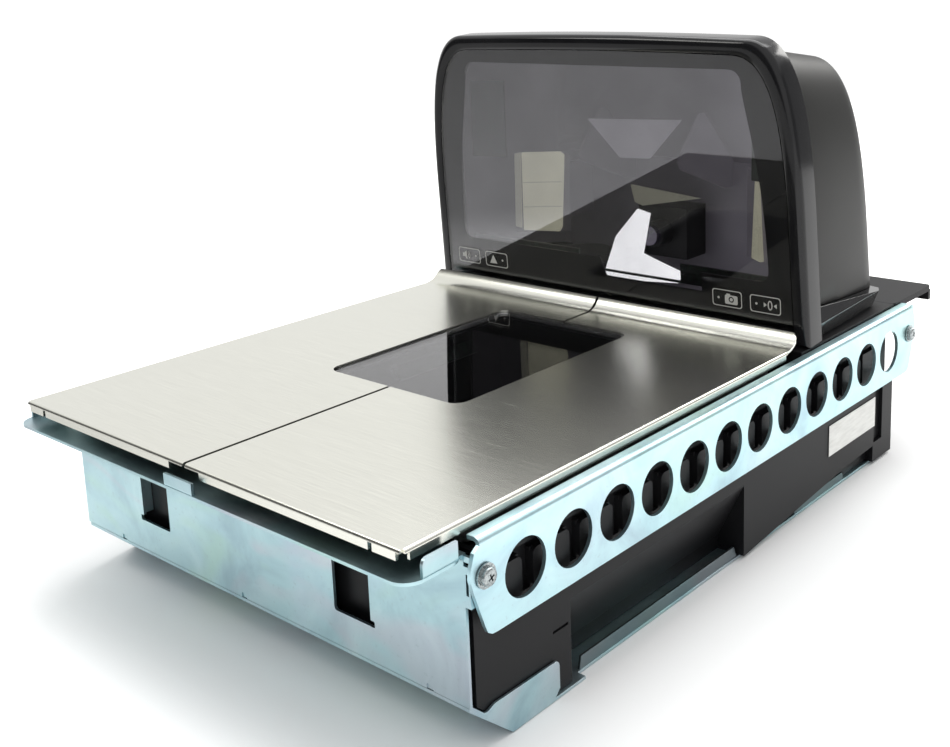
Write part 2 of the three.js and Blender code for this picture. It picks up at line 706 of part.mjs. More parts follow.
// Plan of the plinth at one height: straight sides that come in to a blunt rear.
function plinthRing(inset, height) {
  const front = seamY(0) + 0.4;
  const half = base.half - 0.1 - inset;
  const rearHalf = half - 7;
  const corner = 16;
  const rear = cover.rear;
  const rightHalf = [[half, front], [rearHalf + 2.2, rear - corner], [rearHalf - 3, rear - 4 - inset * 0.5],
    [rearHalf - corner, rear + 1 - inset]];
  const leftHalf = rightHalf.map(([x, y]) => [-x, y]).reverse();
  return [...rightHalf, ...leftHalf].map(([x, y]) => new THREE.Vector3(x, y, height));
}

function towerPlinth() {
  const { footInset, ridge, topInset, wall } = plinth;
  const outside = solid(loft([plinthRing(footInset, tower.foot), plinthRing(0, ridge),
    plinthRing(topInset, 30)]));
  const room = loft([plinthRing(wall, -40), plinthRing(wall, 60)]);
  const frontOpen = block(-138, 138, 330, 352, -10, 40);
  const [[frontY, frontZ], [rearY, rearZ]] = footSeam;
  const above = polygon([[frontY, frontZ - gap], [rearY, rearZ - gap], [rearY, 80], [frontY, 80]]);
  const ahead = polygon([[250, -40], [seamY(-40), -40], [seamY(60), 60], [250, 60]]);
  return toGeometry(cut(outside, room, frontOpen, alongX(above, -beyond, beyond),
    alongX(ahead, -beyond, beyond)));
}
add('tower_plinth', towerPlinth(), 'glossBlack');

// ---------------------------------------------------------------- tower: optics, touch board, speaker
const sideMirror = { x: 88, y: 372, z: 61, length: 40, height: 58, turn: 0.93 };
const topMirror = { half: 39, lowHalf: 14, y: 368, z: 107, length: 34, turn: -0.7 };
const splitMirror = { half: 34, topHalf: 12, y: 359, z: 31, length: 54, turn: -0.26 };
const ledBoard = { x: 112, y: 343, z: 117, width: 26, height: 54, turn: -0.3 };
const mirrorThick = 3;
const towerCameraAt = [0, 396, 38];
const touchStrip = { half: 128, bottom: 18, top: 31 };

// A moulded frame behind the optics: a rear plate on a foot, ribs to the side mirrors, cheeks to the top one.
function towerChassis() {
  const plateY = towerCameraAt[1] + cameraBlock.depth + gap;
  const plateTop = 86;
  const foot = base.top + gap;
  const thick = 3;
  const parts = [block(-100, 100, plateY, plateY + thick, foot, plateTop),
    block(-44, 100, plateY - 36, plateY + 6, foot, foot + thick)];
  const cheek = polygon([[plateY + thick, 70], [plateY + thick, plateTop], [386, 124], [380, 124], [354, 96],
    [358, 90], [plateY - 8, 70]]);
  const behind = (mirrorThick + thick) / 2 + gap;
  const { x, y, z, length, height, turn } = sideMirror;
  for (const [, side] of sides) {
    const inner = topMirror.half + gap;
    const back = [side * (x + behind * Math.cos(turn)), y + behind * Math.sin(turn), z];
    parts.push(alongX(cheek, side * inner, side * (inner + 2)));
    parts.push(slab(thick, length, height, back, [0, 0, side * turn]));
    parts.push(block(side * (x - 9), side * (x - 5), y + 9, plateY + 1, z - 20, z + 20));
  }
  return toGeometry(join(...parts));
}
add('tower_chassis', towerChassis(), 'blackPlastic');

function touchBoard() {
  const { half, bottom, top } = touchStrip;
  const strip = polygon([[-half, bottom], [half, bottom], [half, top], [-half, top]]);
  const front = tower.bezelDepth + 1;
  return leaning(strip, front, front + board.thick);
}
add('touch_board', touchBoard(), 'board');

// A mirror in the shape of a trapezium, as wide as given at its foot and its top, tilted about X.
function tiltedMirror(footHalf, topHalf, { y, z, length, turn }) {
  const face = polygon([[-footHalf, -length / 2], [footHalf, -length / 2], [topHalf, length / 2],
    [-topHalf, length / 2]]);
  return alongY(face, 0, mirrorThick).rotateX(turn).translate(0, y, z);
}
add('tower_top_mirror', tiltedMirror(topMirror.lowHalf, topMirror.half, topMirror), 'mirror');
add('tower_split_mirror', tiltedMirror(splitMirror.half, splitMirror.topHalf, splitMirror), 'mirror');
for (const [side, sign] of sides) {
  const { x, y, z, length, height, turn } = sideMirror;
  add(`tower_side_mirror_${side}`, slab(mirrorThick, length, height, [sign * x, y, z], [0, 0, sign * turn]),
    'mirror');
  add(`tower_led_board_${side}`, slab(ledBoard.width, 3, ledBoard.height,
    [sign * ledBoard.x, ledBoard.y, ledBoard.z], [0, 0, sign * ledBoard.turn]), 'board');
}
add('tower_camera', cameraBody(towerCameraAt), 'blackPlastic');
add('tower_camera_lens', cameraLens(towerCameraAt), 'lens');
add('speaker', post(-70, 398, base.top + gap, base.top + 20, 22, 24), 'blackPlastic');

// ---------------------------------------------------------------- assembly
scanner.position.set(0, -(totalLength + bracket.front) / 2, depthBelow);
const group = new THREE.Group();
group.add(scanner);

export default group;
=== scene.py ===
"""Looks for a checkout barcode scanner and scale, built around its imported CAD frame.

Shapes are drawn in millimetres from one datum: the middle of the weigh plates' front edge, at the height
of their tops. X runs to the right, Y to the tower and Z up. at() turns such a point into metres in the
frame.
"""
import json
import math

import bmesh
import bpy
from mathutils import Matrix, Vector
from mathutils.geometry import tessellate_polygon


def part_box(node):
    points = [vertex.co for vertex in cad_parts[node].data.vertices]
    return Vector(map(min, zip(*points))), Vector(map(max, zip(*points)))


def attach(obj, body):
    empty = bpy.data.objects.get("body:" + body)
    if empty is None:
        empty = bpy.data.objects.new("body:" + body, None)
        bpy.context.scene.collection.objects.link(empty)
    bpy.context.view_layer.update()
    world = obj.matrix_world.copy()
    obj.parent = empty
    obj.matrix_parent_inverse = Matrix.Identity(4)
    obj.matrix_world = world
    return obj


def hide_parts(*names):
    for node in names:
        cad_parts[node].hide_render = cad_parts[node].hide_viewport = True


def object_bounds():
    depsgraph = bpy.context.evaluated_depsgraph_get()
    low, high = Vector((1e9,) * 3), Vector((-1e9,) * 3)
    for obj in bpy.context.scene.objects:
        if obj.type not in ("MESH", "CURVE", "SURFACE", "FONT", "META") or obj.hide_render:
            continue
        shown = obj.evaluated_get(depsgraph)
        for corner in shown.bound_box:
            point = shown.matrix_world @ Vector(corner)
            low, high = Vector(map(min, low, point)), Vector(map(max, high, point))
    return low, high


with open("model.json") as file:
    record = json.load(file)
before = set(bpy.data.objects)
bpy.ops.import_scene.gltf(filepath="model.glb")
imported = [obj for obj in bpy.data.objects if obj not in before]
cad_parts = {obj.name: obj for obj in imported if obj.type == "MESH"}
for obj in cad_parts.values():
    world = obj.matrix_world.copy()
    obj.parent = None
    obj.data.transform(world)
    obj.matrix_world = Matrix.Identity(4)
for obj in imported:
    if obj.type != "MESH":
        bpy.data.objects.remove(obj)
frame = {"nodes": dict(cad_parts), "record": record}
cad_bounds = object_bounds()

MM = 0.001
DECK_BELOW_PLATES = 4
datum = Vector((0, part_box("right_plate")[0].y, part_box("rear_deck")[1].z + DECK_BELOW_PLATES * MM))


def at(x, y, z):
    """A point in millimetres from the datum, as metres in the frame."""
    return datum + Vector((x, y, z)) * MM


def span(node):
    """The lowest and highest corner of a CAD node, in millimetres from the datum."""
    low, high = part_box(node)
    return (low - datum) / MM, (high - datum) / MM


# ---- node materials
def new_material(name, color, roughness, metallic=0.0, **sockets):
    """A Principled material, returned with its node tree and shader."""
    mat = bpy.data.materials.new(name)
    mat.use_nodes = True
    tree = mat.node_tree
    shader = tree.nodes["Principled BSDF"]
    shader.inputs["Base Color"].default_value = (*color, 1)
    shader.inputs["Roughness"].default_value = roughness
    shader.inputs["Metallic"].default_value = metallic
    for socket, value in sockets.items():
        shader.inputs[socket.replace("_", " ")].default_value = value
    return mat, tree, shader


def coordinates(tree, scale):
    """Object coordinates, stretched by a scale per axis, in features per metre."""
    source = tree.nodes.new("ShaderNodeTexCoord")
    mapping = tree.nodes.new("ShaderNodeMapping")
    mapping.inputs["Scale"].default_value = scale
    tree.links.new(source.outputs["Object"], mapping.inputs["Vector"])
    return mapping.outputs["Vector"]


def noise(tree, scale, detail=3.0, roughness=0.55, distortion=0.0):
    node = tree.nodes.new("ShaderNodeTexNoise")
    node.inputs["Scale"].default_value = 1.0
    node.inputs["Detail"].default_value = detail
    node.inputs["Roughness"].default_value = roughness
    node.inputs["Distortion"].default_value = distortion
    tree.links.new(coordinates(tree, scale), node.inputs["Vector"])
    return node.outputs["Fac"]


def ramp(tree, factor, stops):
    """A colour ramp over a factor; stops are (position, colour or grey)."""
    node = tree.nodes.new("ShaderNodeValToRGB")
    elements = node.color_ramp.elements
    while len(elements) < len(stops):
        elements.new(0.5)
    for element, (position, value) in zip(elements, stops):
        element.position = position
        element.color = (*value, 1) if hasattr(value, "__len__") else (value, value, value, 1)
    tree.links.new(factor, node.inputs["Fac"])
    return node.outputs["Color"]


def paint(tree, shader, value, stops):
    """Colours the shader by a ramp over a value."""
    tree.links.new(ramp(tree, value, stops), shader.inputs["Base Color"])


def mixed(tree, factor, first, second):
    """Mix of two colours; factor, first and second are sockets or constants."""
    node = tree.nodes.new("ShaderNodeMix")
    node.data_type = "RGBA"
    for name, value in (("Factor_Float", factor), ("A_Color", first), ("B_Color", second)):
        socket = next(s for s in node.inputs if s.identifier == name)
        if isinstance(value, bpy.types.NodeSocket):
            tree.links.new(value, socket)
        else:
            socket.default_value = value if name == "Factor_Float" else (*value, 1)
    return next(s for s in node.outputs if s.identifier == "Result_Color")


def ranged(tree, factor, low, high):
    """A factor from 0..1 taken to low..high."""
    node = tree.nodes.new("ShaderNodeMapRange")
    node.inputs["To Min"].default_value = low
    node.inputs["To Max"].default_value = high
    tree.links.new(factor, node.inputs["Value"])
    return node.outputs["Result"]


def bump(tree, shader, height, strength, distance):
    node = tree.nodes.new("ShaderNodeBump")
    node.inputs["Strength"].default_value = strength
    node.inputs["Distance"].default_value = distance
    tree.links.new(height, node.inputs["Height"])
    tree.links.new(node.outputs["Normal"], shader.inputs["Normal"])


def smooth_mask(tree, value, low, high):
    """0 below low, 1 above high, smooth between."""
    node = tree.nodes.new("ShaderNodeMapRange")
    node.interpolation_type = "SMOOTHSTEP"
    node.inputs["From Min"].default_value = low
    node.inputs["From Max"].default_value = high
    tree.links.new(value, node.inputs["Value"])
    return node.outputs["Result"]


def product(tree, first, second):
    node = tree.nodes.new("ShaderNodeMath")
    node.operation = "MULTIPLY"
    tree.links.new(first, node.inputs[0])
    tree.links.new(second, node.inputs[1])
    return node.outputs["Value"]


def along(tree, vector, direction):
    node = tree.nodes.new("ShaderNodeVectorMath")
    node.operation = "DOT_PRODUCT"
    node.inputs[1].default_value = direction
    tree.links.new(vector, node.inputs[0])
    return node.outputs["Value"]


def brushed_steel():
    """Stainless sheet brushed from side to side, with faint smudges."""
    mat, tree, shader = new_material("brushed_steel", (0.66, 0.65, 0.61), 0.2, 1.0)
    strokes = noise(tree, (35, 2600, 2600), detail=4, roughness=0.7)
    smudges = noise(tree, (14, 14, 14), detail=5)
    tone = ramp(tree, strokes, [(0.3, (0.66, 0.66, 0.6)), (0.7, (0.77, 0.77, 0.705))])
    stained = mixed(tree, ranged(tree, smudges, 0.0, 0.35), tone, (0.74, 0.735, 0.65))
    tree.links.new(stained, shader.inputs["Base Color"])
    tree.links.new(ranged(tree, strokes, 0.19, 0.31), shader.inputs["Roughness"])
    bump(tree, shader, strokes, 0.012, 0.0001)
    return mat


def zinc_plate(name="zinc_plate", shade=1.0, bloomed=0.35):
    """Blue-passivated zinc: a blue-grey sheet with a faint pink and green bloom and fine spots."""
    mat, tree, shader = new_material(name, (0.5, 0.64, 0.68), 0.34, 0.95)
    clouds = noise(tree, (24, 24, 24), detail=4, roughness=0.6, distortion=0.6)
    bloom = noise(tree, (10, 10, 17), detail=2, distortion=1.2)
    blush = noise(tree, (13, 13, 8), detail=2, distortion=0.8)
    spots = noise(tree, (420, 420, 420), detail=2)

    def toned(*color):
        return tuple(part * shade for part in color)

    base = ramp(tree, clouds, [(0.3, toned(0.38, 0.55, 0.62)), (0.5, toned(0.5, 0.72, 0.77)),
                               (0.7, toned(0.6, 0.82, 0.85))])
    tinted = mixed(tree, ramp(tree, bloom, [(0.52, 0.0), (0.64, bloomed)]), base, toned(0.72, 0.6, 0.68))
    tinted = mixed(tree, ramp(tree, bloom, [(0.3, 0.5), (0.44, 0.0)]), tinted, toned(0.5, 0.74, 0.62))
    blushed = ramp(tree, blush, [(0.56, 0.0), (0.7, 0.5 * bloomed)])
    tinted = mixed(tree, blushed, tinted, toned(0.5, 0.56, 0.76))
    speckled = mixed(tree, ramp(tree, spots, [(0.62, 0.0), (0.75, 0.3)]), tinted, toned(0.36, 0.46, 0.5))
    tree.links.new(speckled, shader.inputs["Base Color"])
    tree.links.new(ranged(tree, clouds, 0.26, 0.44), shader.inputs["Roughness"])
    bump(tree, shader, spots, 0.06, 0.0002)
    return mat


def turned_zinc():
    mat, tree, shader = new_material("turned_zinc", (0.62, 0.64, 0.62), 0.25, 1.0)
    rings = noise(tree, (900, 900, 900), detail=2)
    paint(tree, shader, rings, [(0.3, (0.2, 0.22, 0.23)), (0.7, (0.48, 0.52, 0.52))])
    tree.links.new(ranged(tree, rings, 0.18, 0.36), shader.inputs["Roughness"])
    return mat


def cast_metal():
    mat, tree, shader = new_material("cast_metal", (0.42, 0.43, 0.44), 0.5, 0.9)
    grain = noise(tree, (700, 700, 700), detail=4)
    paint(tree, shader, grain, [(0.3, (0.34, 0.35, 0.36)), (0.7, (0.5, 0.51, 0.52))])
    bump(tree, shader, grain, 0.35, 0.0003)
    return mat


def moulded(name, dark, light, roughness, grain_depth, **sockets):
    """Moulded plastic: a fine eroded grain, slow tone changes and uneven gloss."""
    mat, tree, shader = new_material(name, dark, roughness, 0.0, **sockets)
    grain = noise(tree, (1500, 1500, 1500), detail=2)
    drift = noise(tree, (9, 9, 9), detail=3)
    paint(tree, shader, drift, [(0.35, dark), (0.7, light)])
    tree.links.new(ranged(tree, drift, roughness - 0.05, roughness + 0.06), shader.inputs["Roughness"])
    bump(tree, shader, grain, grain_depth, 0.0002)
    return mat


def polished(name, dark, light):
    """Glossy black plastic with faint haze from handling."""
    mat, tree, shader = new_material(name, dark, 0.08, 0.0, Specular_IOR_Level=0.32)
    haze = noise(tree, (22, 22, 22), detail=5, distortion=0.4)
    paint(tree, shader, haze, [(0.35, dark), (0.75, light)])
    tree.links.new(ranged(tree, haze, 0.05, 0.16), shader.inputs["Roughness"])
    return mat


def tinted_glass():
    mat, tree, shader = new_material("tinted_glass", (0.72, 0.72, 0.74), 0.0, 0.0, IOR=1.5)
    shader.inputs["Transmission Weight"].default_value = 1.0
    film = noise(tree, (16, 16, 16), detail=4)
    paint(tree, shader, film, [(0.3, (0.68, 0.68, 0.7)), (0.7, (0.76, 0.76, 0.78))])
    return mat


def clear_coating():
    """The clear inner pane, with a coating that mirrors more than plain glass."""
    mat, tree, shader = new_material("clear_coating", (0.98, 0.98, 0.98), 0.0, 0.0, IOR=1.8)
    shader.inputs["Transmission Weight"].default_value = 1.0
    film = noise(tree, (16, 16, 16), detail=4)
    paint(tree, shader, film, [(0.3, (0.96, 0.96, 0.97)), (0.7, (1, 1, 1))])
    return mat


def coated_lens():
    mat, tree, shader = new_material("coated_lens", (0.03, 0.02, 0.06), 0.03, 0.0, Coat_Weight=1.0)
    sheen = noise(tree, (90, 90, 90))
    paint(tree, shader, sheen, [(0.3, (0.02, 0.015, 0.05)), (0.7, (0.06, 0.03, 0.09))])
    return mat


def silvered(name, color):
    mat, tree, shader = new_material(name, color, 0.02, 1.0)
    film = noise(tree, (30, 30, 30), detail=4)
    tree.links.new(ranged(tree, film, 0.01, 0.05), shader.inputs["Roughness"])
    return mat


def painted_glow_panel(name, color, strength, rise=None):
    """A milky panel with a painted glow, so that it shows evenly lit through the tinted pane, or, with
    painted shade on its left, brighter towards the right.
    """
    mat, tree, shader = new_material(name, color, 0.4)
    shader.inputs["Emission Strength"].default_value = strength
    cloud = noise(tree, (24, 24, 24))
    dimmer = tuple(0.86 * part for part in color)
    tone = ramp(tree, cloud, [(0.3, dimmer), (0.7, color)])
    tree.links.new(tone, shader.inputs["Base Color"])
    # painted shade: the glow fades to near black towards the left
    if rise:
        right = smooth_mask(tree, along(tree, coordinates(tree, (1, 1, 1)), (1, 0, 0)), *rise)
        tone = mixed(tree, right, (0.03, 0.028, 0.032), tone)
    tree.links.new(tone, shader.inputs["Emission Color"])
    return mat


def black_rubber():
    mat, tree, shader = new_material("black_rubber", (0.016, 0.016, 0.016), 0.8)
    grain = noise(tree, (1100, 1100, 1100))
    paint(tree, shader, grain, [(0.3, 0.01), (0.7, 0.026)])
    bump(tree, shader, grain, 0.3, 0.0002)
    return mat


def circuit_board():
    mat, tree, shader = new_material("circuit_board", (0.01, 0.03, 0.016), 0.35)
    tracks = noise(tree, (260, 260, 260), detail=0)
    paint(tree, shader, tracks, [(0.48, (0.008, 0.02, 0.012)), (0.52, (0.014, 0.04, 0.022))])
    return mat


def paper_label():
    mat, tree, shader = new_material("paper_label", (0.78, 0.78, 0.75), 0.55)
    fibres = noise(tree, (500, 90, 500), detail=4)
    paint(tree, shader, fibres, [(0.3, (0.7, 0.7, 0.67)), (0.7, (0.82, 0.82, 0.79))])
    return mat


def printed_ink(name, color):
    mat, tree, shader = new_material(name, color, 0.4)
    screen = noise(tree, (2200, 2200, 2200), detail=1)
    worn = tuple(0.8 * part for part in color)
    paint(tree, shader, screen, [(0.35, worn), (0.6, color)])
    return mat


MATERIALS = {
    "steel": brushed_steel(),
    "zinc": zinc_plate("zinc_plate", 0.78),
    # zinc at 0.3 of its tone is painted shade, for the tray's side strips
    "zinc_painted_shade": zinc_plate("zinc_painted_shade", 0.3),
    "zinc_clean": zinc_plate("zinc_clean", 1.0, 0.12),
    "screw_zinc": turned_zinc(),
    "cast_metal": cast_metal(),
    "black_plastic": moulded("black_plastic", (0.006, 0.006, 0.007), (0.011, 0.011, 0.012), 0.4, 0.2,
                              Specular_IOR_Level=0.18),
    "grey_plastic": moulded("grey_plastic", (0.013, 0.013, 0.012), (0.018, 0.018, 0.017), 0.42, 0.2,
                             Specular_IOR_Level=0.11),
    "matte_black": moulded("matte_black", (0.008, 0.008, 0.009), (0.013, 0.013, 0.014), 0.55, 0.2,
                           Specular_IOR_Level=0.2),
    # optics_grey is a painted glow in place of light inside the tower, with painted shade to its left
    "optics_grey": painted_glow_panel("optics_grey", (0.2, 0.185, 0.215), 0.35, (0.0, 0.06)),
    # painted glow: emission in place of what the tower's mirrors reflect
    "flap_painted_glow": painted_glow_panel("flap_painted_glow", (0.55, 0.54, 0.42), 0.25),
    "clear_coating": clear_coating(),
    "gloss_black": polished("gloss_black", (0.006, 0.006, 0.007), (0.012, 0.012, 0.013)),
    "dark_glass": tinted_glass(),
    "lens_glass": coated_lens(),
    "mirror": silvered("silvered_glass", (0.88, 0.9, 0.88)),
    # painted glow: cream and grey panels in place of what the side and top mirrors reflect
    "cream_painted_glow": painted_glow_panel("cream_painted_glow", (0.86, 0.84, 0.62), 0.35),
    "grey_painted_glow": painted_glow_panel("grey_painted_glow", (0.4, 0.38, 0.42), 0.3),
    # painted reflection: a bright glow in place of a lamp seen in the split mirror
    "white_painted_reflection": painted_glow_panel("white_painted_reflection", (0.95, 0.95, 0.95), 1.6),
    "rubber": black_rubber(),
    "circuit_board": circuit_board(),
    "label": paper_label(),
    "ink_black": printed_ink("ink_black", (0.006, 0.006, 0.007)),
    "ink_grey": printed_ink("ink_grey", (0.5, 0.5, 0.48)),
}


# ---- mesh helpers
def distinct(outline):
    """The outline without points that repeat the one before."""
    points = []
    for point in outline:
        if not points or math.dist(point, points[-1]) > 1e-4:
            points.append(tuple(point))
    if math.dist(points[0], points[-1]) <= 1e-4:
        points.pop()
    return points


def prism(outline, low, high, axis="z", holes=()):
    """A closed bar: a flat outline with holes, run from low to high along an axis.

    The outline's two numbers are (x, y) for axis z, (y, z) for axis x and (x, z) for axis y.
    """
    place = {"z": lambda a, b, c: (a, b, c),
             "x": lambda a, b, c: (c, a, b),
             "y": lambda a, b, c: (a, c, b)}[axis]
    loops = [distinct(outline)] + [distinct(hole) for hole in holes]
    flat = [point for loop in loops for point in loop]
    triangles = tessellate_polygon([[Vector((a, b, 0)) for a, b in loop] for loop in loops])
    bm = bmesh.new()
    ends = [[bm.verts.new(place(a, b, level)) for a, b in flat] for level in (low, high)]
    for end in ends:
        for corners in triangles:
            bm.faces.new([end[corner] for corner in corners])
    start = 0
    for loop in loops:
        count = len(loop)
        for step in range(count):
            first, second = start + step, start + (step + 1) % count
            bm.faces.new([ends[0][first], ends[0][second], ends[1][second], ends[1][first]])
        start += count
    bmesh.ops.recalc_face_normals(bm, faces=bm.faces)
    return bm


def box(x0, x1, y0, y1, z0, z1):
    low, high = min(x0, x1), max(x0, x1)
    return prism([(low, y0), (high, y0), (high, y1), (low, y1)], z0, z1)


def arc(cx, cy, radius, start, end, steps=8):
    """Points on an arc, angles in degrees."""
    turns = [math.radians(start + (end - start) * i / steps) for i in range(steps + 1)]
    return [(cx + radius * math.cos(turn), cy + radius * math.sin(turn)) for turn in turns]


def rounded(x0, x1, y0, y1, radius, steps=8):
    """A rectangle with round corners, anticlockwise."""
    return (arc(x1 - radius, y0 + radius, radius, -90, 0, steps)
            + arc(x1 - radius, y1 - radius, radius, 0, 90, steps)
            + arc(x0 + radius, y1 - radius, radius, 90, 180, steps)
            + arc(x0 + radius, y0 + radius, radius, 180, 270, steps))


def circle(cx, cy, radius, steps=32):
    return arc(cx, cy, radius, 0, 360 * (steps - 1) / steps, steps - 1)


def strip(path, thickness):
    """The closed outline of a sheet whose outer face follows a path, with the sheet to the path's right."""
    inner = []
    for index, (x, y) in enumerate(path):
        before = path[max(index - 1, 0)]
        after = path[min(index + 1, len(path) - 1)]
        dx, dy = after[0] - before[0], after[1] - before[1]
        length = math.hypot(dx, dy)
        inner.append((x + dy / length * thickness, y - dx / length * thickness))
    return list(path) + inner[::-1]


def to_object(bm, name="scratch"):
    mesh = bpy.data.meshes.new(name)
    bm.to_mesh(mesh)
    bm.free()
    obj = bpy.data.objects.new(name, mesh)
    bpy.context.scene.collection.objects.link(obj)
    return obj


def evaluated(obj):
    """The object's mesh with its modifiers applied, as a bmesh; the object is removed."""
    mesh = bpy.data.meshes.new_from_object(obj.evaluated_get(bpy.context.evaluated_depsgraph_get()))
    bm = bmesh.new()
    bm.from_mesh(mesh)
    bpy.data.meshes.remove(mesh)
    old = obj.data
    bpy.data.objects.remove(obj)
    bpy.data.meshes.remove(old)
    return bm


def combine(body, tools, operation):
    """Joins or cuts a body with tools, each a bmesh."""
    target = to_object(body)
    scratch = []
    for tool in tools:
        other = to_object(tool)
        modifier = target.modifiers.new("solid", "BOOLEAN")
        modifier.operation = operation
        modifier.solver = "MANIFOLD"
        modifier.object = other
        scratch.append(other)
    result = evaluated(target)
    for other in scratch:
        mesh = other.data
        bpy.data.objects.remove(other)
        bpy.data.meshes.remove(mesh)
    bmesh.ops.dissolve_limit(result, angle_limit=math.radians(0.5), verts=result.verts, edges=result.edges)
    return result


def join(body, *tools):
    return combine(body, tools, "UNION")


def cut(body, *tools):
    return combine(body, tools, "DIFFERENCE")


def moved(bm, matrix):
    bm.transform(matrix)
    if matrix.determinant() < 0:
        bmesh.ops.reverse_faces(bm, faces=bm.faces)
    return bm


def mirror_copy(bm):
    return moved(bm.copy(), Matrix.Scale(-1, 4, Vector((1, 0, 0))))


def loft(rings, close_rings=False, caps=True):
    """Faces through rings of points; close_rings joins the last ring to the first."""
    bm = bmesh.new()
    levels = [[bm.verts.new(point) for point in ring] for ring in rings]
    pairs = list(zip(levels, levels[1:])) + ([(levels[-1], levels[0])] if close_rings else [])
    for low, high in pairs:
        for step in range(len(low)):
            nxt = (step + 1) % len(low)
            bm.faces.new((low[step], low[nxt], high[nxt], high[step]))
    if caps and not close_rings:
        bm.faces.new(levels[0][::-1])
        bm.faces.new(levels[-1])
    bmesh.ops.recalc_face_normals(bm, faces=bm.faces)
    return bm


def lathe(profile, steps=32):
    """A solid of revolution about +X from (radius, along) points that start and end on the axis."""
    bm = bmesh.new()
    rings = []
    for radius, along in profile:
        if radius < 1e-6:
            rings.append([bm.verts.new((along, 0, 0))])
        else:
            rings.append([bm.verts.new((along, a, b)) for a, b in circle(0, 0, radius, steps)])
    for low, high in zip(rings, rings[1:]):
        for step in range(steps):
            nxt = (step + 1) % steps
            corners = [low[step % len(low)], low[nxt % len(low)],
                       high[nxt % len(high)], high[step % len(high)]]
            bm.faces.new(list(dict.fromkeys(corners)))
    bmesh.ops.recalc_face_normals(bm, faces=bm.faces)
    return bm


def soften(obj, width, segments=3, angle=25):
    """Rounds an object's edges by a width in millimetres and shades it smooth with flat faces kept flat."""
    for polygon in obj.data.polygons:
        polygon.use_smooth = True
    bevel = obj.modifiers.new("edges", "BEVEL")
    bevel.width = width * MM
    bevel.segments = segments
    bevel.limit_method = "ANGLE"
    bevel.angle_limit = math.radians(angle)
    bevel.miter_outer = "MITER_ARC"
    normals = obj.modifiers.new("normals", "WEIGHTED_NORMAL")
    normals.mode = "FACE_AREA"
    normals.weight = 100
    return obj


def piece(name, bm, slot, stands_for=(), body="base", edge=0.25, segments=2, finish=None):
    """Places a bmesh drawn in millimetres as a finished piece of the object."""
    bmesh.ops.remove_doubles(bm, verts=bm.verts, dist=1e-4)
    bmesh.ops.transform(bm, matrix=Matrix.Translation(datum) @ Matrix.Scale(MM, 4), verts=bm.verts)
    obj = to_object(bm, name)
    obj.data.materials.append(MATERIALS[finish or slot])
    if edge:
        soften(obj, edge, segments)
    else:
        for polygon in obj.data.polygons:
            polygon.use_smooth = False
    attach(obj, body)
    if stands_for:
        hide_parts(*stands_for)
    return obj


def smooth_piece(obj, angle=35):
    """Shades a curved piece smooth, with edges sharper than the angle left sharp."""
    bm = bmesh.new()
    bm.from_mesh(obj.data)
    for face in bm.faces:
        face.smooth = True
    for edge in bm.edges:
        if len(edge.link_faces) == 2 and edge.calc_face_angle() > math.radians(angle):
            edge.smooth = False
    bm.to_mesh(obj.data)
    bm.free()
    return obj


def both_sides(name, bm, slot, **options):
    """A right-hand piece and its mirror image; stands_for is the CAD name without its side."""
    base = options.pop("stands_for", None)
    options.setdefault("body", "base")
    body = options.pop("body")
    for side, shape in (("left", mirror_copy(bm)), ("right", bm)):
        nodes = (f"{side}_{base}",) if base else ()
        rides = f"{side}_plate" if body == "plate" else body
        piece(f"{name}_{side}", shape, slot, stands_for=nodes, body=rides, **options)


# ---- weigh plates
PLATE = {"half": 146, "slit": 1, "sheet": 1.5, "flange": 5.2, "bend": 1.7, "side_span": (4, 304),
         "front_spans": ((12, 126), (128.4, 142)), "corner": 4}
LIP = {"start": 306, "radius": 13.7, "sweep": 65}
CUT_OUT = {"half": 51, "front": 131, "rear": 283, "radius": 8}


def weigh_plates():
    """Half plates of brushed sheet: bent front and side flanges and a curled rear lip."""
    half, sheet, flange, bend = (PLATE[key] for key in ("half", "sheet", "flange", "bend"))
    curl = arc(LIP["start"], LIP["radius"], LIP["radius"], -90, -90 + LIP["sweep"], 18)
    front_bend = arc(bend, -bend, bend, 180, 90, 6)
    top = prism(strip(front_bend + curl, sheet), PLATE["slit"], half - bend, "x")
    side_bend = [(half - bend - 1, -sheet), (half - bend - 1, 0)] + arc(half - bend, -bend, bend, 90, 0, 6)
    side_outline = side_bend + [(half, -flange), (half - sheet, -flange), (half - sheet, -sheet)]
    side = prism(side_outline, *PLATE["side_span"], "y")
    corner = prism(side_bend + [(half - sheet, -bend)], bend, LIP["start"], "y")
    lip_end = prism(strip(curl, sheet), half - bend - 1, half - 0.4, "x")
    flanges = [box(low, high, 0, sheet, -flange, -bend + 0.2) for low, high in PLATE["front_spans"]]
    plate = join(top, side, corner, lip_end, *flanges)
    window_half, front, rear, radius = (CUT_OUT[key] for key in ("half", "front", "rear", "radius"))
    window = rounded(-window_half, window_half, front, rear, radius)
    trim_radius = PLATE["corner"]
    lip_rear = LIP["start"] + LIP["radius"]
    blank = [(half + 20, lip_rear - 2), (half + 20, lip_rear + 20), (half - trim_radius, lip_rear + 20)]
    corner_cut = blank + arc(half - trim_radius, lip_rear - 1.2 - trim_radius, trim_radius, 90, 0, 8)
    plate = cut(plate, prism(window, -20, 20), prism(corner_cut, -20, 20))
    both_sides("weigh_plate", plate, "steel", stands_for="plate", body="plate", edge=0.3)


# ---- flat glass and its frame
def flat_glass():
    low, high = span("horizontal_glass")
    pane = prism(rounded(low.x, high.x, low.y, high.y, CUT_OUT["radius"] - 0.8, 10), low.z, high.z)
    piece("flat_glass_pane", pane, "dark_glass", stands_for=("horizontal_glass",), edge=0.4)


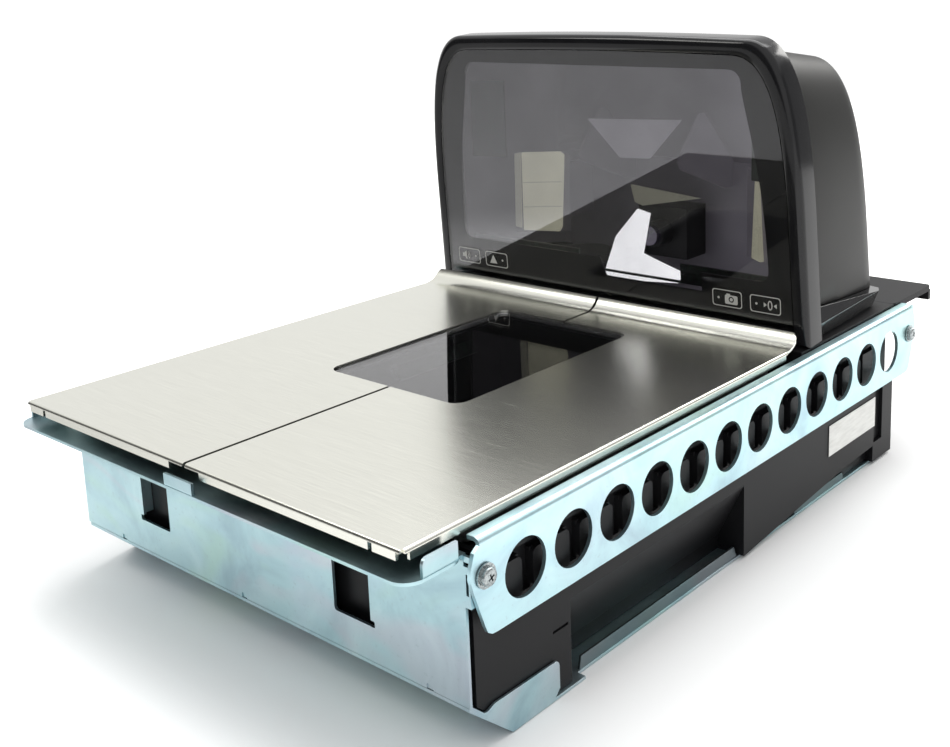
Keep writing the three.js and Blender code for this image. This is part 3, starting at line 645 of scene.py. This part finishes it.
# ---- front bracket
SCREW_HOLE = 2.7
BRACKET = {"sheet": 1.5, "half": 151.7, "front": -4, "top": -12, "panel": 30, "panel_half": 149.4,
           "bottom": -82.5, "window": (65.5, 90), "window_z": (-65.2, -34), "bend": 2.6}


def upright_tab(low, high, foot, rise, axis):
    """A tab bent up out of a flat sheet, its outer face at foot, seen along the given axis."""
    sheet, bend = BRACKET["sheet"], BRACKET["bend"]
    top = BRACKET["top"]
    outer = [(foot + bend + 3, top - sheet)] + arc(foot + bend, top - sheet + bend, bend, 270, 180, 6)
    outer.append((foot, top + rise))
    return prism(strip(outer[::-1], -sheet), low, high, axis)


def front_bracket():
    """Folded sheet: a front flange with tabs, and a panel with two windows, tongues and wings."""
    sheet, half, front, top = (BRACKET[key] for key in ("sheet", "half", "front", "top"))
    panel, panel_half, bottom, bend = (BRACKET[key] for key in ("panel", "panel_half", "bottom", "bend"))
    flange = prism(rounded(-half, half, front, panel + 1.5, 10, 10), top - sheet, top)
    wall = [(panel, bottom), (panel, top - sheet - bend)]
    wall += arc(panel - bend, top - sheet - bend, bend, 0, 90, 6)[1:]
    wall += [(panel - bend, top - 0.2), (panel + sheet, top - 0.2), (panel + sheet, bottom)]
    body = join(flange, prism(wall, -panel_half, panel_half, "x"), upright_tab(-11, 11, front, 6, "x"))
    w0, w1 = BRACKET["window"]
    z0, z1 = BRACKET["window_z"]
    for sign in (1, -1):
        opening = rounded(min(sign * w0, sign * w1), max(sign * w0, sign * w1), z0, z1, 1.5, 4)
        hook_low, hook_high = sorted((sign * (w1 - 1), sign * (w1 + 2.6)))
        hook = rounded(hook_low, hook_high, z0 - 0.1, z0 + 3, 0.7, 3)
        body = cut(body, prism(opening, panel - 8, panel + 8, "y"), prism(hook, panel - 8, panel + 8, "y"))
        tongue = box(sign * w1, sign * (w1 + sheet), panel, panel + 6, z0 + 4, z1)
        tab = [(sign * (half - 6), top - sheet + 0.1)]
        tab += [(sign * x, z) for x, z in arc(half - bend, top - sheet + bend, bend, 270, 360, 6)]
        tab += [(sign * half, top + 8.2), (sign * (half - sheet), top + 8.2), (sign * (half - sheet), top)]
        side_tab = prism(tab if sign > 0 else tab[::-1], 5, 25, "y")
        corner = [(4, top + 9), (4, top + 5.2)] + arc(8, top + 5.2, 3, 180, 90, 6) + [(8, top + 9)]
        side_tab = cut(side_tab, prism(corner, *sorted((sign * (half - 9), sign * (half + 9))), "x"))
        shoulder = box(sign * 147.5, sign * 152.7, panel, panel + sheet, -36, top - 1)
        wing_outline = [(panel, -36), (47, -36), (50, -33), (50, -28), (47.5, -26.5), (47.5, -19),
                        (50, -17.5), (50, top - 1), (panel, top - 1)]
        wing = prism(wing_outline, *sorted((sign * 151.2, sign * 152.7)), "x",
                     holes=[circle(36.5, -22.5, SCREW_HOLE, 16)])
        slot = box(sign * 150.3, sign * 151.7, 28, 34, -30.5, -21)
        notch = box(sign * 149.3, sign * 154, 28, 34, -17.6, -15.6)
        body = cut(join(body, tongue, side_tab, shoulder, wing), slot, notch)
    dents = [box(x - 2, x + 2, panel - 2, panel + 0.6, bottom - 1, bottom + 2.5) for x in (-112, -4, 126)]
    piece("bracket_front", cut(body, *dents), "zinc", stands_for=("front_bracket",), edge=0.3)


# ---- base tray
TRAY_STRIPS = (("front", 111, 254.5, 8), ("rear", 321, 387, 6.4))


def base_tray():
    """The folded tray: sloping nose, flat deck, side gussets and low side strips."""
    low, high = span("base_tray")
    sheet = 1.5
    floor = low.z
    nose = [(30.4, -83), (32.2, -82.9), (58.2, floor + sheet), (109, floor + sheet), (109, floor),
            (57, floor), (30.4, -84.8)]
    tray = join(prism(nose, -high.x, high.x, "x"), box(-144, 144, 108, high.y, floor, floor + sheet))
    gusset = [(31.5, -84.2), (36.5, -88.8)] + arc(41, -84.5, 5.2, 240, 300, 5)
    gusset += [(46, -88.2), (87, -88.8)] + arc(87, -91.8, 3, 90, 0, 4)
    gusset += [(90, -103), (86, -107.2), (57, -107.2)]
    for sign in (1, -1):
        side = prism(gusset, *sorted((sign * (high.x - sheet), sign * high.x)), "x")
        tray = join(tray, side)
        for place, start, end, rise in TRAY_STRIPS:
            outline = [(start, floor + 0.5), (end, floor + 0.5),
                       (end - 3, floor + rise), (start + 1.5, floor + rise)]
            skirt = prism(outline, *sorted((sign * 142, sign * 143.5)), "x")
            side_name = "right" if sign > 0 else "left"
            # painted shade: the strips take the zinc darkened to 0.3
            piece(f"tray_strip_{place}_{side_name}", skirt, "zinc", finish="zinc_painted_shade", edge=0.3)
    piece("tray_base", tray, "zinc", stands_for=("base_tray",), edge=0.3)


# ---- side rails
RAIL = {"outer": 155, "sheet": 2, "top": -5.5, "bottom": -50.5, "front": 34, "rear": 458, "bend": 3.2,
        "flange": 148, "hole": 13.5, "pitch": 32.9, "count": 12, "first": 62, "hole_z": -29.3}
RAIL_SCREWS = {"front": (36.5, -22.5), "rear": (454, -24.5)}


def rail_end(y, way):
    """The rail's end in (y, z), from the bend down: a bulge round the screw, then a slant to the bottom."""
    top = RAIL["top"] - RAIL["bend"]
    bottom = RAIL["bottom"]
    points = [(0, top), (-3.4, -11), (-5.6, -17), (-6, -22), (-4.8, -27), (1.5, -45), (3, -48.6),
              (5.6, bottom + 0.3), (9, bottom)]
    return [(y + inward * way, z) for inward, z in points]


def side_rails():
    """Perforated angle: a web with a row of round holes and a narrow top flange on a round bend."""
    outer, sheet, top, bend = (RAIL[key] for key in ("outer", "sheet", "top", "bend"))
    outline = rail_end(RAIL["front"], 1) + rail_end(RAIL["rear"], -1)[::-1]
    holes = [circle(RAIL["first"] + RAIL["pitch"] * i, RAIL["hole_z"], RAIL["hole"], 40)
             for i in range(RAIL["count"])]
    holes += [circle(y, z, SCREW_HOLE, 16) for y, z in RAIL_SCREWS.values()]
    web = prism(outline, outer - sheet, outer, "x", holes)
    corner = [(RAIL["flange"], top)] + arc(outer - bend, top - bend, bend, 90, 0, 8)
    corner.append((outer, top - bend - 1))
    flange = prism(strip(corner, sheet), RAIL["front"], RAIL["rear"], "y")
    both_sides("side_rail", join(web, flange), "zinc", stands_for="rail", edge=0.3, finish="zinc_clean")


def rail_screws():
    """Pan-head screws with a cross recess, on a spring washer and a flat washer."""
    face = RAIL["outer"] + 0.3
    for place, (y, z) in RAIL_SCREWS.items():
        flat = lathe([(0, 0), (5.6, 0), (5.6, 0.8), (0, 0.8)], 36)
        spring = cut(lathe([(0, 0.8), (4.5, 0.8), (4.5, 1.6), (0, 1.6)], 36), box(0, 3, 0, 6, -0.4, 0.4))
        dome = [(0, 1.6), (4.1, 1.6), (4.1, 2.3), (3.8, 2.9), (3, 3.25), (1.6, 3.4), (0, 3.4)]
        shank = lathe([(0, -7.7), (2.2, -7.7), (2.2, 0.2), (0, 0.2)], 16)
        head = lathe(dome, 36)
        head = cut(head, box(2.2, 6, -1.9, 1.9, -0.38, 0.38), box(2.2, 6, -0.38, 0.38, -1.9, 1.9))
        screw = join(head, flat, spring, shank)
        spun = moved(screw, Matrix.Translation((face, y, z)) @ Matrix.Rotation(math.radians(25), 4, "X"))
        both_sides(f"rail_screw_{place}", spun, "screw_zinc", stands_for=f"rail_{place}_screw", edge=0.12)


# ---- housing
HOUSING = {"wall": 147, "raised": 2.2, "channel": (-22.5, -27.3), "span": (45, 418), "slots": (88, 150)}


def housing():
    """The CAD tub with pockets between ribs behind the rails' holes, slots and a rear channel."""
    source = frame["nodes"]["housing_tub"].data
    tub = bmesh.new()
    tub.from_mesh(source)
    bmesh.ops.transform(tub, matrix=Matrix.Scale(1 / MM, 4) @ Matrix.Translation(-datum), verts=tub.verts)
    bmesh.ops.remove_doubles(tub, verts=tub.verts, dist=1e-3)
    wall, raised = HOUSING["wall"], HOUSING["raised"]
    top, low = HOUSING["channel"]
    first, last = HOUSING["span"]
    tools, pads = [], []
    for sign in (1, -1):
        outer = sorted((sign * (wall - 2.6), sign * (wall + 5)))
        tools.append(box(*outer, first, last, low, top))
        pads.append(box(sign * (wall - 0.5), sign * (wall + raised), first, last, top, -15.5))
        for index in range(RAIL["count"] - 1):
            hole = RAIL["first"] + RAIL["pitch"] * index
            tools.append(box(*outer, hole + 4, hole + 11.5, -46, low + 0.5))
            start = max(hole + 11.5 - RAIL["pitch"], first)
            block = rounded(start, hole + 4, -46, low, 3, 5)
            pads.append(prism(block, *sorted((sign * (wall - 0.5), sign * (wall + raised))), "x"))
        tools.append(box(*outer, 422, 434, -93, -56))
        shallow = sorted((sign * (wall - 1.2), sign * (wall + 5)))
        tools += [box(*shallow, y, y + 11, -76, -74.6) for y in HOUSING["slots"]]
    tub = join(cut(tub, *tools), *pads)
    piece("housing_shell", tub, "black_plastic", stands_for=("housing_tub",), edge=0.35)


# ---- tower
TOWER = {"face": 325.5, "lean": math.radians(4.4), "half": 148.4, "height": 178.7, "foot": -3.7,
         "bezel": 17.5, "glass": 9.5, "opening": 14}
COVER = {"rear": 450, "rear_lean": 0.1, "taper": 9.8, "power": 1.45, "drop": 13.8, "radius": 14.5,
         "pull": 0.3, "start": 0.8, "inset": 6, "wall": 2.5}
FOOT_SEAM = ((300, 21.4), (520, -1.2))


def bezier(p0, p1, p2, steps):
    """Points of a quadratic curve after its start."""
    out = []
    for i in range(1, steps + 1):
        t = i / steps
        out.append(tuple((1 - t) ** 2 * a + 2 * t * (1 - t) * b + t * t * c for a, b, c in zip(p0, p1, p2)))
    return out


def tower_outline(inset, bottom=None, steps=12):
    """The tower's outline in (x, height), drawn smaller by the inset on every side."""
    half, height = TOWER["half"], TOWER["height"]
    bottom = TOWER["foot"] + inset if bottom is None else bottom
    right = [(half, 0)] + [(half + (146.4 - half) * i / 6, 76 * i / 6) for i in range(1, 7)]
    right += bezier((146.4, 76), (144.6, 136), (134.5, 158), steps)
    right += bezier((134.5, 158), (126.5, 176.6), (112, 177.2), steps)
    right += bezier((112, 177.2), (0, 180.2), (-112, 177.2), 2 * steps)[:steps - 1]
    points = right + [(0, 178.7)] + [(-x, z) for x, z in right[::-1]]
    across = (half - inset) / half
    rise = (height - inset - bottom) / height
    return [(x * across, bottom + z * rise) for x, z in points]


def face_point(x, height, depth):
    """A point on the leaning tower: height up its face and depth behind it."""
    lean = TOWER["lean"]
    y = TOWER["face"] + depth * math.cos(lean) - height * math.sin(lean)
    return x, y, height * math.cos(lean) + depth * math.sin(lean)


def leaning(bm):
    """Takes a bmesh drawn as (x, depth, height) to the leaning face."""
    turn = Matrix.Rotation(TOWER["lean"], 4, "X")
    return moved(bm, Matrix.Translation((0, TOWER["face"], 0)) @ turn)


def tower_bezel():
    """Glossy surround swept round the glass: a full front edge, a flat land and a rebate for the glass."""
    edge = 4.5
    section = [(0, TOWER["bezel"]), (0, edge)]
    section += [(edge * (1 - math.cos(a)), edge * (1 - math.sin(a)))
                for a in (math.radians(15 * i) for i in range(1, 7))]
    section += [(8.6, 0.0), (9.1, 0.35), (9.2, 3.6), (TOWER["opening"], 3.6),
                (TOWER["opening"], TOWER["bezel"])]
    rings = [[face_point(x, z, depth) for x, z in tower_outline(inset)] for inset, depth in section]
    shell = piece("tower_surround", loft(rings, close_rings=True), "gloss_black",
                  stands_for=("tower_bezel",), edge=0)
    smooth_piece(shell, 40)


def window_outline():
    """The clear part of the upright glass in (x, height): straight foot, leaning sides, round corners."""
    right = arc(122.9 - 7, 33.5 + 7, 7, -90, 0, 8) + [(121.8, 62), (120, 84), (117.2, 104), (113.4, 124)]
    right += bezier((113.4, 124), (110, 140), (108.6, 148), 6) + arc(100.6, 151.6, 8, 0, 90, 8)
    foot = [(-2, 33.5), (2.8, 21.5), (76, 21.5), (76, 33.5)]
    return right + [(-x, z) for x, z in right[::-1]] + foot


PANE_DEPTHS = {"pane": (0.2, 2.6), "border": (2.62, 2.82), "coating": (2.9, 3.3)}
BOARD = [(-128, 18), (128, 18), (128, 31), (50, 31), (50, 19.4), (-32, 19.4), (-32, 31), (-128, 31)]
BOARD_DEPTHS = (1, 2.6)


def tower_glass():
    """The upright pane, the print and the coated inner pane behind it, and the notched touch board."""
    outline = tower_outline(TOWER["glass"])
    pane = leaning(prism(outline, *PANE_DEPTHS["pane"], "y"))
    piece("tower_pane", pane, "dark_glass", stands_for=("vertical_glass",), edge=0.35)
    print_outline = tower_outline(TOWER["glass"] + 0.4)
    border = leaning(prism(print_outline, *PANE_DEPTHS["border"], "y", holes=[window_outline()]))
    piece("window_border", border, "dark_glass", finish="ink_black", edge=0)
    coating = leaning(prism(window_outline(), *PANE_DEPTHS["coating"], "y"))
    piece("window_coating", coating, "dark_glass", finish="clear_coating", edge=0)
    near, far = (TOWER["bezel"] + depth for depth in BOARD_DEPTHS)
    board = leaning(prism(BOARD, near, far, "y"))
    piece("touch_strip_board", board, "circuit_board", stands_for=("touch_board",), edge=0.1)


def turned(bm, angle, axis, place):
    return moved(bm, Matrix.Translation(place) @ Matrix.Rotation(angle, 4, axis))


SIDE_MIRROR = {"x": 88, "y": 372, "z": 61, "turn": 0.93}
SIDE_PANELS = {"left": [(12, -28.5), (14, -25), (16.5, 27.5), (14, 30), (-14.4, 30), (-14.4, -27)],
               "right": [(-8, -27), (5, -27), (0, 27), (-1, 27)]}
SIDE_LINES = {"low": -10, "high": 8}
SIDE_FLAP = [(-20.2, -24), (-15.6, -25.4), (-15, 30), (-19.6, 29)]
SPLIT_MIRROR = [(-24, 9), (38, 14.5), (41, 22), (25, 26.5), (10, 31), (16, 59), (6, 61), (-12, 40.5)]
CAMERA_SHADE = [(4, 78.1), (7.1, 66.9), (13.5, 64.8), (57.8, 73.7)]
TOP_MIRROR = [(-41, 118), (35, 121), (10, 94), (-14, 93)]


def side_mirror(sign, side):
    """A side panel on its own turn, and on the left its two lines and the narrow flap beside it, all in a
    painted glow that stands in for what the mirror reflects.
    """
    place, turn = (sign * SIDE_MIRROR["x"], SIDE_MIRROR["y"], SIDE_MIRROR["z"]), sign * SIDE_MIRROR["turn"]
    panel = turned(prism(SIDE_PANELS[side], -1.5, 1.5, "x"), turn, "Z", place)
    piece(f"side_mirror_{side}", panel, "mirror", stands_for=(f"tower_side_mirror_{side}",),
          finish="cream_painted_glow", edge=0.4)
    if side == "left":
        for name, level in SIDE_LINES.items():
            line = turned(box(1.5, 1.7, -14, 14, level, level + 0.5), turn, "Z", place)
            piece(f"side_mirror_line_{name}", line, "mirror", finish="flap_painted_glow", edge=0)
        flap = turned(prism(SIDE_FLAP, -1.4, 1.4, "x"), turn, "Z", place)
        piece("side_mirror_flap", flap, "mirror", finish="flap_painted_glow", edge=0.3)


def tower_optics():
    """Mirrors and panels seen through the upright pane, finished in painted glow and painted reflection in
    place of the light they reflect.
    """
    side_mirror(-1, "left")
    side_mirror(1, "right")
    # the split mirror's white finish is a painted reflection of a lamp
    piece("split_mirror", prism(SPLIT_MIRROR, 357, 359, "y"), "mirror",
          stands_for=("tower_split_mirror",), finish="white_painted_reflection", edge=0.2)
    piece("camera_shade", prism(CAMERA_SHADE, 353, 354.5, "y"), "mirror", finish="flap_painted_glow", edge=0.1)
    piece("top_mirror", prism(TOP_MIRROR, 366, 368, "y"), "mirror",
          stands_for=("tower_top_mirror",), finish="grey_painted_glow", edge=0.3)


def line_ring(outline, width):
    """A closed line of a given width round an outline, as outer and inner loops."""
    cx = sum(x for x, _ in outline) / len(outline)
    cz = sum(z for _, z in outline) / len(outline)
    half_x = max(x for x, _ in outline) - cx
    half_z = max(z for _, z in outline) - cz
    across, up = 1 - width / half_x, 1 - width / half_z
    return outline, [(cx + (x - cx) * across, cz + (z - cz) * up) for x, z in outline]


ICON = {"width": 20.6, "height": 10.8, "z": 19.9, "line": 0.5, "depth": (0.08, 0.18)}


def touch_icons():
    """Four flush touch fields: a framed symbol and a small lamp dot each."""
    low, high = ICON["depth"]
    half_w, half_h, z = ICON["width"] / 2, ICON["height"] / 2, ICON["z"]

    def mark(name, outlines):
        parts = [prism(loops[0], low, high, "y", holes=loops[1:]) for loops in outlines]
        body = parts[0]
        for other in parts[1:]:
            mesh = bpy.data.meshes.new("part")
            other.to_mesh(mesh)
            body.from_mesh(mesh)
            bpy.data.meshes.remove(mesh)
            other.free()
        piece(name, leaning(body), "label", finish="ink_grey", edge=0)

    def frame_at(cx):
        outline = rounded(cx - half_w, cx + half_w, z - half_h, z + half_h, 1.8, 5)
        return line_ring(outline, ICON["line"])

    def dot(cx):
        return (circle(cx, z, 0.75, 14),)

    def shifted(cx, shape):
        return [(cx + x, z + h) for x, h in shape]

    def ellipse(cx, half_x, half_z):
        turns = [math.radians(15 * i) for i in range(24)]
        return [(cx + half_x * math.cos(turn), z + half_z * math.sin(turn)) for turn in turns]

    speaker_x, alert_x, camera_x, zero_x = -119.3, -93.3, 94.7, 120.9
    cone = [(-6.6, -1.3), (-4.9, -1.3), (-2.7, -3.3), (-2.7, 3.3), (-4.9, 1.3), (-6.6, 1.3)]
    waves = [arc(-3, 0, radius, -50, 50, 8) + arc(-3, 0, radius - 0.5, 50, -50, 8)
             for radius in (2.2, 3.6)]
    mark("touch_sound", [frame_at(speaker_x), dot(speaker_x + 6)]
         + [(shifted(speaker_x, shape),) for shape in (cone, *waves)])
    triangle = shifted(alert_x, [(-6.3, -3), (0.5, -3), (-2.9, 3.2)])
    mark("touch_alert", [frame_at(alert_x), dot(alert_x + 5.6), (triangle,)])
    outer = shifted(camera_x, rounded(-1.5, 7.3, -3.4, 2.3, 0.9, 4))
    lens = circle(camera_x + 2.9, z - 0.4, 1.9, 20)[::-1]
    mark("touch_camera", [frame_at(camera_x), dot(camera_x - 6), (outer, lens),
                          (circle(camera_x + 2.9, z - 0.4, 1.1, 16),),
                          (rounded(camera_x - 0.4, camera_x + 2.2, z + 2.2, z + 3.2, 0.3, 3),)])
    zero, zero_in = ellipse(zero_x + 3.2, 1.6, 3), ellipse(zero_x + 3.2, 0.9, 2.3)
    arrows = [[(-1, -1.5), (1, 0), (-1, 1.5)], [(7.6, -1.5), (7.6, 1.5), (5.6, 0)]]
    mark("touch_zero", [frame_at(zero_x), dot(zero_x - 6), (zero, zero_in)]
         + [(shifted(zero_x, shape),) for shape in arrows])


def seam_y(height):
    base = TOWER["face"] + TOWER["bezel"] / math.cos(TOWER["lean"]) + 0.3
    return base - height * math.tan(TOWER["lean"])


def tower_cover():
    """The rear shell: the outline swept back, drawn in and rounded into the rear wall, cut to its foot."""
    outline = tower_outline(COVER["inset"], -30, 10)
    stations = [(COVER["start"] * step / 12, 0) for step in range(13)]
    for step in range(1, 13):
        angle = math.radians(7.5 * step)
        stations.append((COVER["start"] + (1 - COVER["start"]) * math.sin(angle),
                         COVER["radius"] * (1 - math.cos(angle))))
    rings = []
    for along, drawn in stations:
        ring = []
        for x, height in outline:
            above = max(height, 0)
            depth = COVER["rear"] - COVER["rear_lean"] * above - seam_y(height)
            pulled = COVER["taper"] * along ** COVER["power"] + COVER["pull"] * drawn
            drop = (COVER["drop"] * along + drawn) * above / TOWER["height"]
            ring.append((x * (1 - pulled / TOWER["half"]), seam_y(height) + along * depth, height - drop))
        rings.append(ring)
    last = rings[-1]
    middle = Vector((0, sum(p[1] for p in last) / len(last), sum(p[2] for p in last) / len(last)))
    for share in (0.75, 0.5, 0.25, 0.08):
        ring = []
        for point in last:
            x, _, z = middle.lerp(Vector(point), share)
            ring.append((x, COVER["rear"] - COVER["rear_lean"] * max(z, 0), z))
        rings.append(ring)
    shell = loft(rings, caps=False)
    cap = shell.faces.new(list(shell.verts)[-len(last):])
    cap.smooth = True
    (y0, z0), (y1, z1) = FOOT_SEAM
    normal = Vector((0, z0 - z1, y1 - y0)).normalized()
    geometry = list(shell.verts) + list(shell.edges) + list(shell.faces)
    bmesh.ops.bisect_plane(shell, geom=geometry, plane_co=Vector((0, y0, z0)), plane_no=normal,
                           clear_inner=True)
    bmesh.ops.recalc_face_normals(shell, faces=shell.faces)
    obj = piece("tower_rear_shell", shell, "grey_plastic", stands_for=("tower_cover",), edge=0)
    wall = obj.modifiers.new("wall", "SOLIDIFY")
    wall.thickness = COVER["wall"] * MM
    wall.offset = -1
    wall.material_offset = 1
    # the inner wall takes optics_grey, a painted glow in place of light inside the tower
    obj.data.materials.append(MATERIALS["optics_grey"])
    smooth_piece(obj, 40)
    edges = obj.modifiers.new("edges", "BEVEL")
    edges.width = 0.4 * MM
    edges.segments = 2
    edges.limit_method = "ANGLE"
    edges.angle_limit = math.radians(50)


# tower_chassis takes optics_grey, a painted glow in place of light inside the tower
CAD_FINISHES = {"rear_deck": "matte_black", "tower_base": "matte_black", "tower_chassis": "optics_grey",
                "speaker": "matte_black"}


def polish_cad_nodes():
    """CAD nodes whose shape is right keep it: they get softened edges and their slot's material."""
    slots = {row["node"]: row["material_slot"] for row in frame["record"]["subparts"]}
    for name, node in frame["nodes"].items():
        node.data.materials.clear()
        node.data.materials.append(MATERIALS[CAD_FINISHES.get(name, slots[name])])
        if node.hide_render:
            continue
        weld = node.modifiers.new("weld", "WELD")
        weld.merge_threshold = 0.01 * MM
        flat = node.modifiers.new("flats", "DECIMATE")
        flat.decimate_type = "DISSOLVE"
        flat.angle_limit = math.radians(1)
        soften(node, 0.25, 2, 30)


# ---- camera, floor and light
CAMERA = {"eye": (468.69, -294.48, 217.04), "azimuth": 40.748, "elevation": 11.883, "roll": -1.875,
          "lens": 45.985, "shift": (-0.0544, -0.1521)}


def add_camera():
    azimuth, elevation, roll = (math.radians(CAMERA[key]) for key in ("azimuth", "elevation", "roll"))
    back = Vector((math.sin(azimuth) * math.cos(elevation), -math.cos(azimuth) * math.cos(elevation),
                   math.sin(elevation)))
    level = (-back).cross(Vector((0, 0, 1))).normalized()
    upright = level.cross(-back)
    right = math.cos(roll) * level + math.sin(roll) * upright
    up = math.cos(roll) * upright - math.sin(roll) * level
    data = bpy.data.cameras.new("camera")
    data.sensor_width = 36
    data.lens = CAMERA["lens"]
    data.shift_x, data.shift_y = CAMERA["shift"]
    data.clip_start, data.clip_end = 0.01, 30
    camera = bpy.data.objects.new("camera", data)
    facing = Matrix((right, up, back)).transposed().to_4x4()
    camera.matrix_world = Matrix.Translation(at(*CAMERA["eye"])) @ facing
    bpy.context.scene.collection.objects.link(camera)
    bpy.context.scene.camera = camera


# The floor's edges, the painted shade that darkens it in front-left of the picture and the box round the
# scanner in which it gets no painted glow, so that the shadow holds: all in metres in the frame.
FLOOR = (-2.4, 2.4, -1.6, 2.2)
FLOOR_BELOW = 0.0003
FRONT_LEFT = (-0.447, -0.894, 0)
FLOOR_PAINTED_SHADE = (0.33, 0.5)
FLOOR_GLOW = 0.4
SHADE_CENTRE = (0, 0.1, 0)
SHADE_HALF = (0.2, 0.3, 10)
GLOW_START = (0.035, 0.12)


def add_floor():
    """A pale floor with painted shade towards the front left and a faint painted glow of its own away from
    the scanner's shadow.
    """
    left, right, front, rear = FLOOR
    bm = bmesh.new()
    corners = [(left, front), (right, front), (right, rear), (left, rear)]
    bm.faces.new([bm.verts.new((x, y, cad_bounds[0].z - FLOOR_BELOW)) for x, y in corners])
    floor = to_object(bm, "floor")
    mat, tree, shader = new_material("floor_white", (0.9, 0.9, 0.9), 0.7)
    place = coordinates(tree, (1, 1, 1))
    # painted shade: the floor's colour falls from 0.9 to 0.3 towards the front left
    painted_shade = smooth_mask(tree, along(tree, place, FRONT_LEFT), *FLOOR_PAINTED_SHADE)
    paint(tree, shader, painted_shade, [(0.0, 0.9), (1.0, 0.3)])
    outside = place
    for operation, operand in (("SUBTRACT", SHADE_CENTRE), ("ABSOLUTE", None), ("SUBTRACT", SHADE_HALF),
                               ("MAXIMUM", (0, 0, 0)), ("LENGTH", None)):
        step = tree.nodes.new("ShaderNodeVectorMath")
        step.operation = operation
        tree.links.new(outside, step.inputs[0])
        if operand:
            step.inputs[1].default_value = operand
        outside = step.outputs["Value" if operation == "LENGTH" else "Vector"]
    # painted glow: the floor emits light outside the box round the scanner
    glow = smooth_mask(tree, outside, *GLOW_START)
    tree.links.new(ramp(tree, glow, [(0.0, 0.0), (1.0, 1.0)]), shader.inputs["Emission Color"])
    shader.inputs["Emission Strength"].default_value = FLOOR_GLOW
    floor.data.materials.append(mat)


def area_light(name, place, size, power, color):
    data = bpy.data.lights.new(name, "AREA")
    data.shape = "RECTANGLE"
    data.size, data.size_y = size
    data.energy = power
    data.color = color
    light = bpy.data.objects.new(name, data)
    light.location = place
    light.rotation_euler = (Vector(LIGHTS_AIM) - Vector(place)).to_track_quat("-Z", "Y").to_euler()
    bpy.context.scene.collection.objects.link(light)


STUDIO = {"light": 1.0, "front": 0.08, "rear": 0.4, "seen": 1.06}
STUDIO_SIDES = {"front": ((-0.5, -0.85, 0), (0.5, 0.82)), "rear": ((0.8, 0.6, 0), (0.5, 0.8))}
STUDIO_HEIGHTS = {"front": (0.85, 0.6), "rear": (0.5, 0.4)}
LIGHTS_AIM = (0, 0, 0.1)
LIGHTS = {"key_rear": ((0.45, 2.3, 1.35), (1.1, 0.8), 22, (1.0, 0.99, 0.96)),
          "soft_top": ((-0.2, 0.7, 1.9), (1.6, 1.6), 26, (1, 1, 1)),
          "soft_front": ((-0.9, -0.85, 1.45), (0.6, 0.4), 5, (1.0, 0.99, 0.95))}


def add_world():
    """A white studio, dark low in front and dimmer low at the right rear, and white where it is seen."""
    world = bpy.data.worlds.new("studio")
    bpy.context.scene.world = world
    world.use_nodes = True
    tree = world.node_tree
    background = tree.nodes["Background"]
    source = tree.nodes.new("ShaderNodeTexCoord").outputs["Generated"]
    height = along(tree, source, (0, 0, 1))
    side = {}
    for name, (direction, limits) in STUDIO_SIDES.items():
        toward = smooth_mask(tree, along(tree, source, direction), *limits)
        side[name] = product(tree, toward, smooth_mask(tree, height, *STUDIO_HEIGHTS[name]))
    white, dark, dim = ((STUDIO[key],) * 3 for key in ("light", "front", "rear"))
    shade = mixed(tree, side["rear"], mixed(tree, side["front"], white, dark), dim)
    rays = tree.nodes.new("ShaderNodeLightPath")
    tree.links.new(mixed(tree, rays.outputs["Is Camera Ray"], shade, (STUDIO["seen"],) * 3),
                   background.inputs["Color"])


def add_light():
    add_world()
    for name, (place, size, power, color) in LIGHTS.items():
        area_light(name, place, size, power, color)
    scene = bpy.context.scene
    scene.view_settings.view_transform = "Standard"
    scene.view_settings.look = "None"


# ---- build
add_camera()
weigh_plates()
flat_glass()
front_bracket()
base_tray()
side_rails()
rail_screws()
housing()
tower_bezel()
tower_glass()
tower_optics()
touch_icons()
tower_cover()
polish_cad_nodes()
add_floor()
add_light()
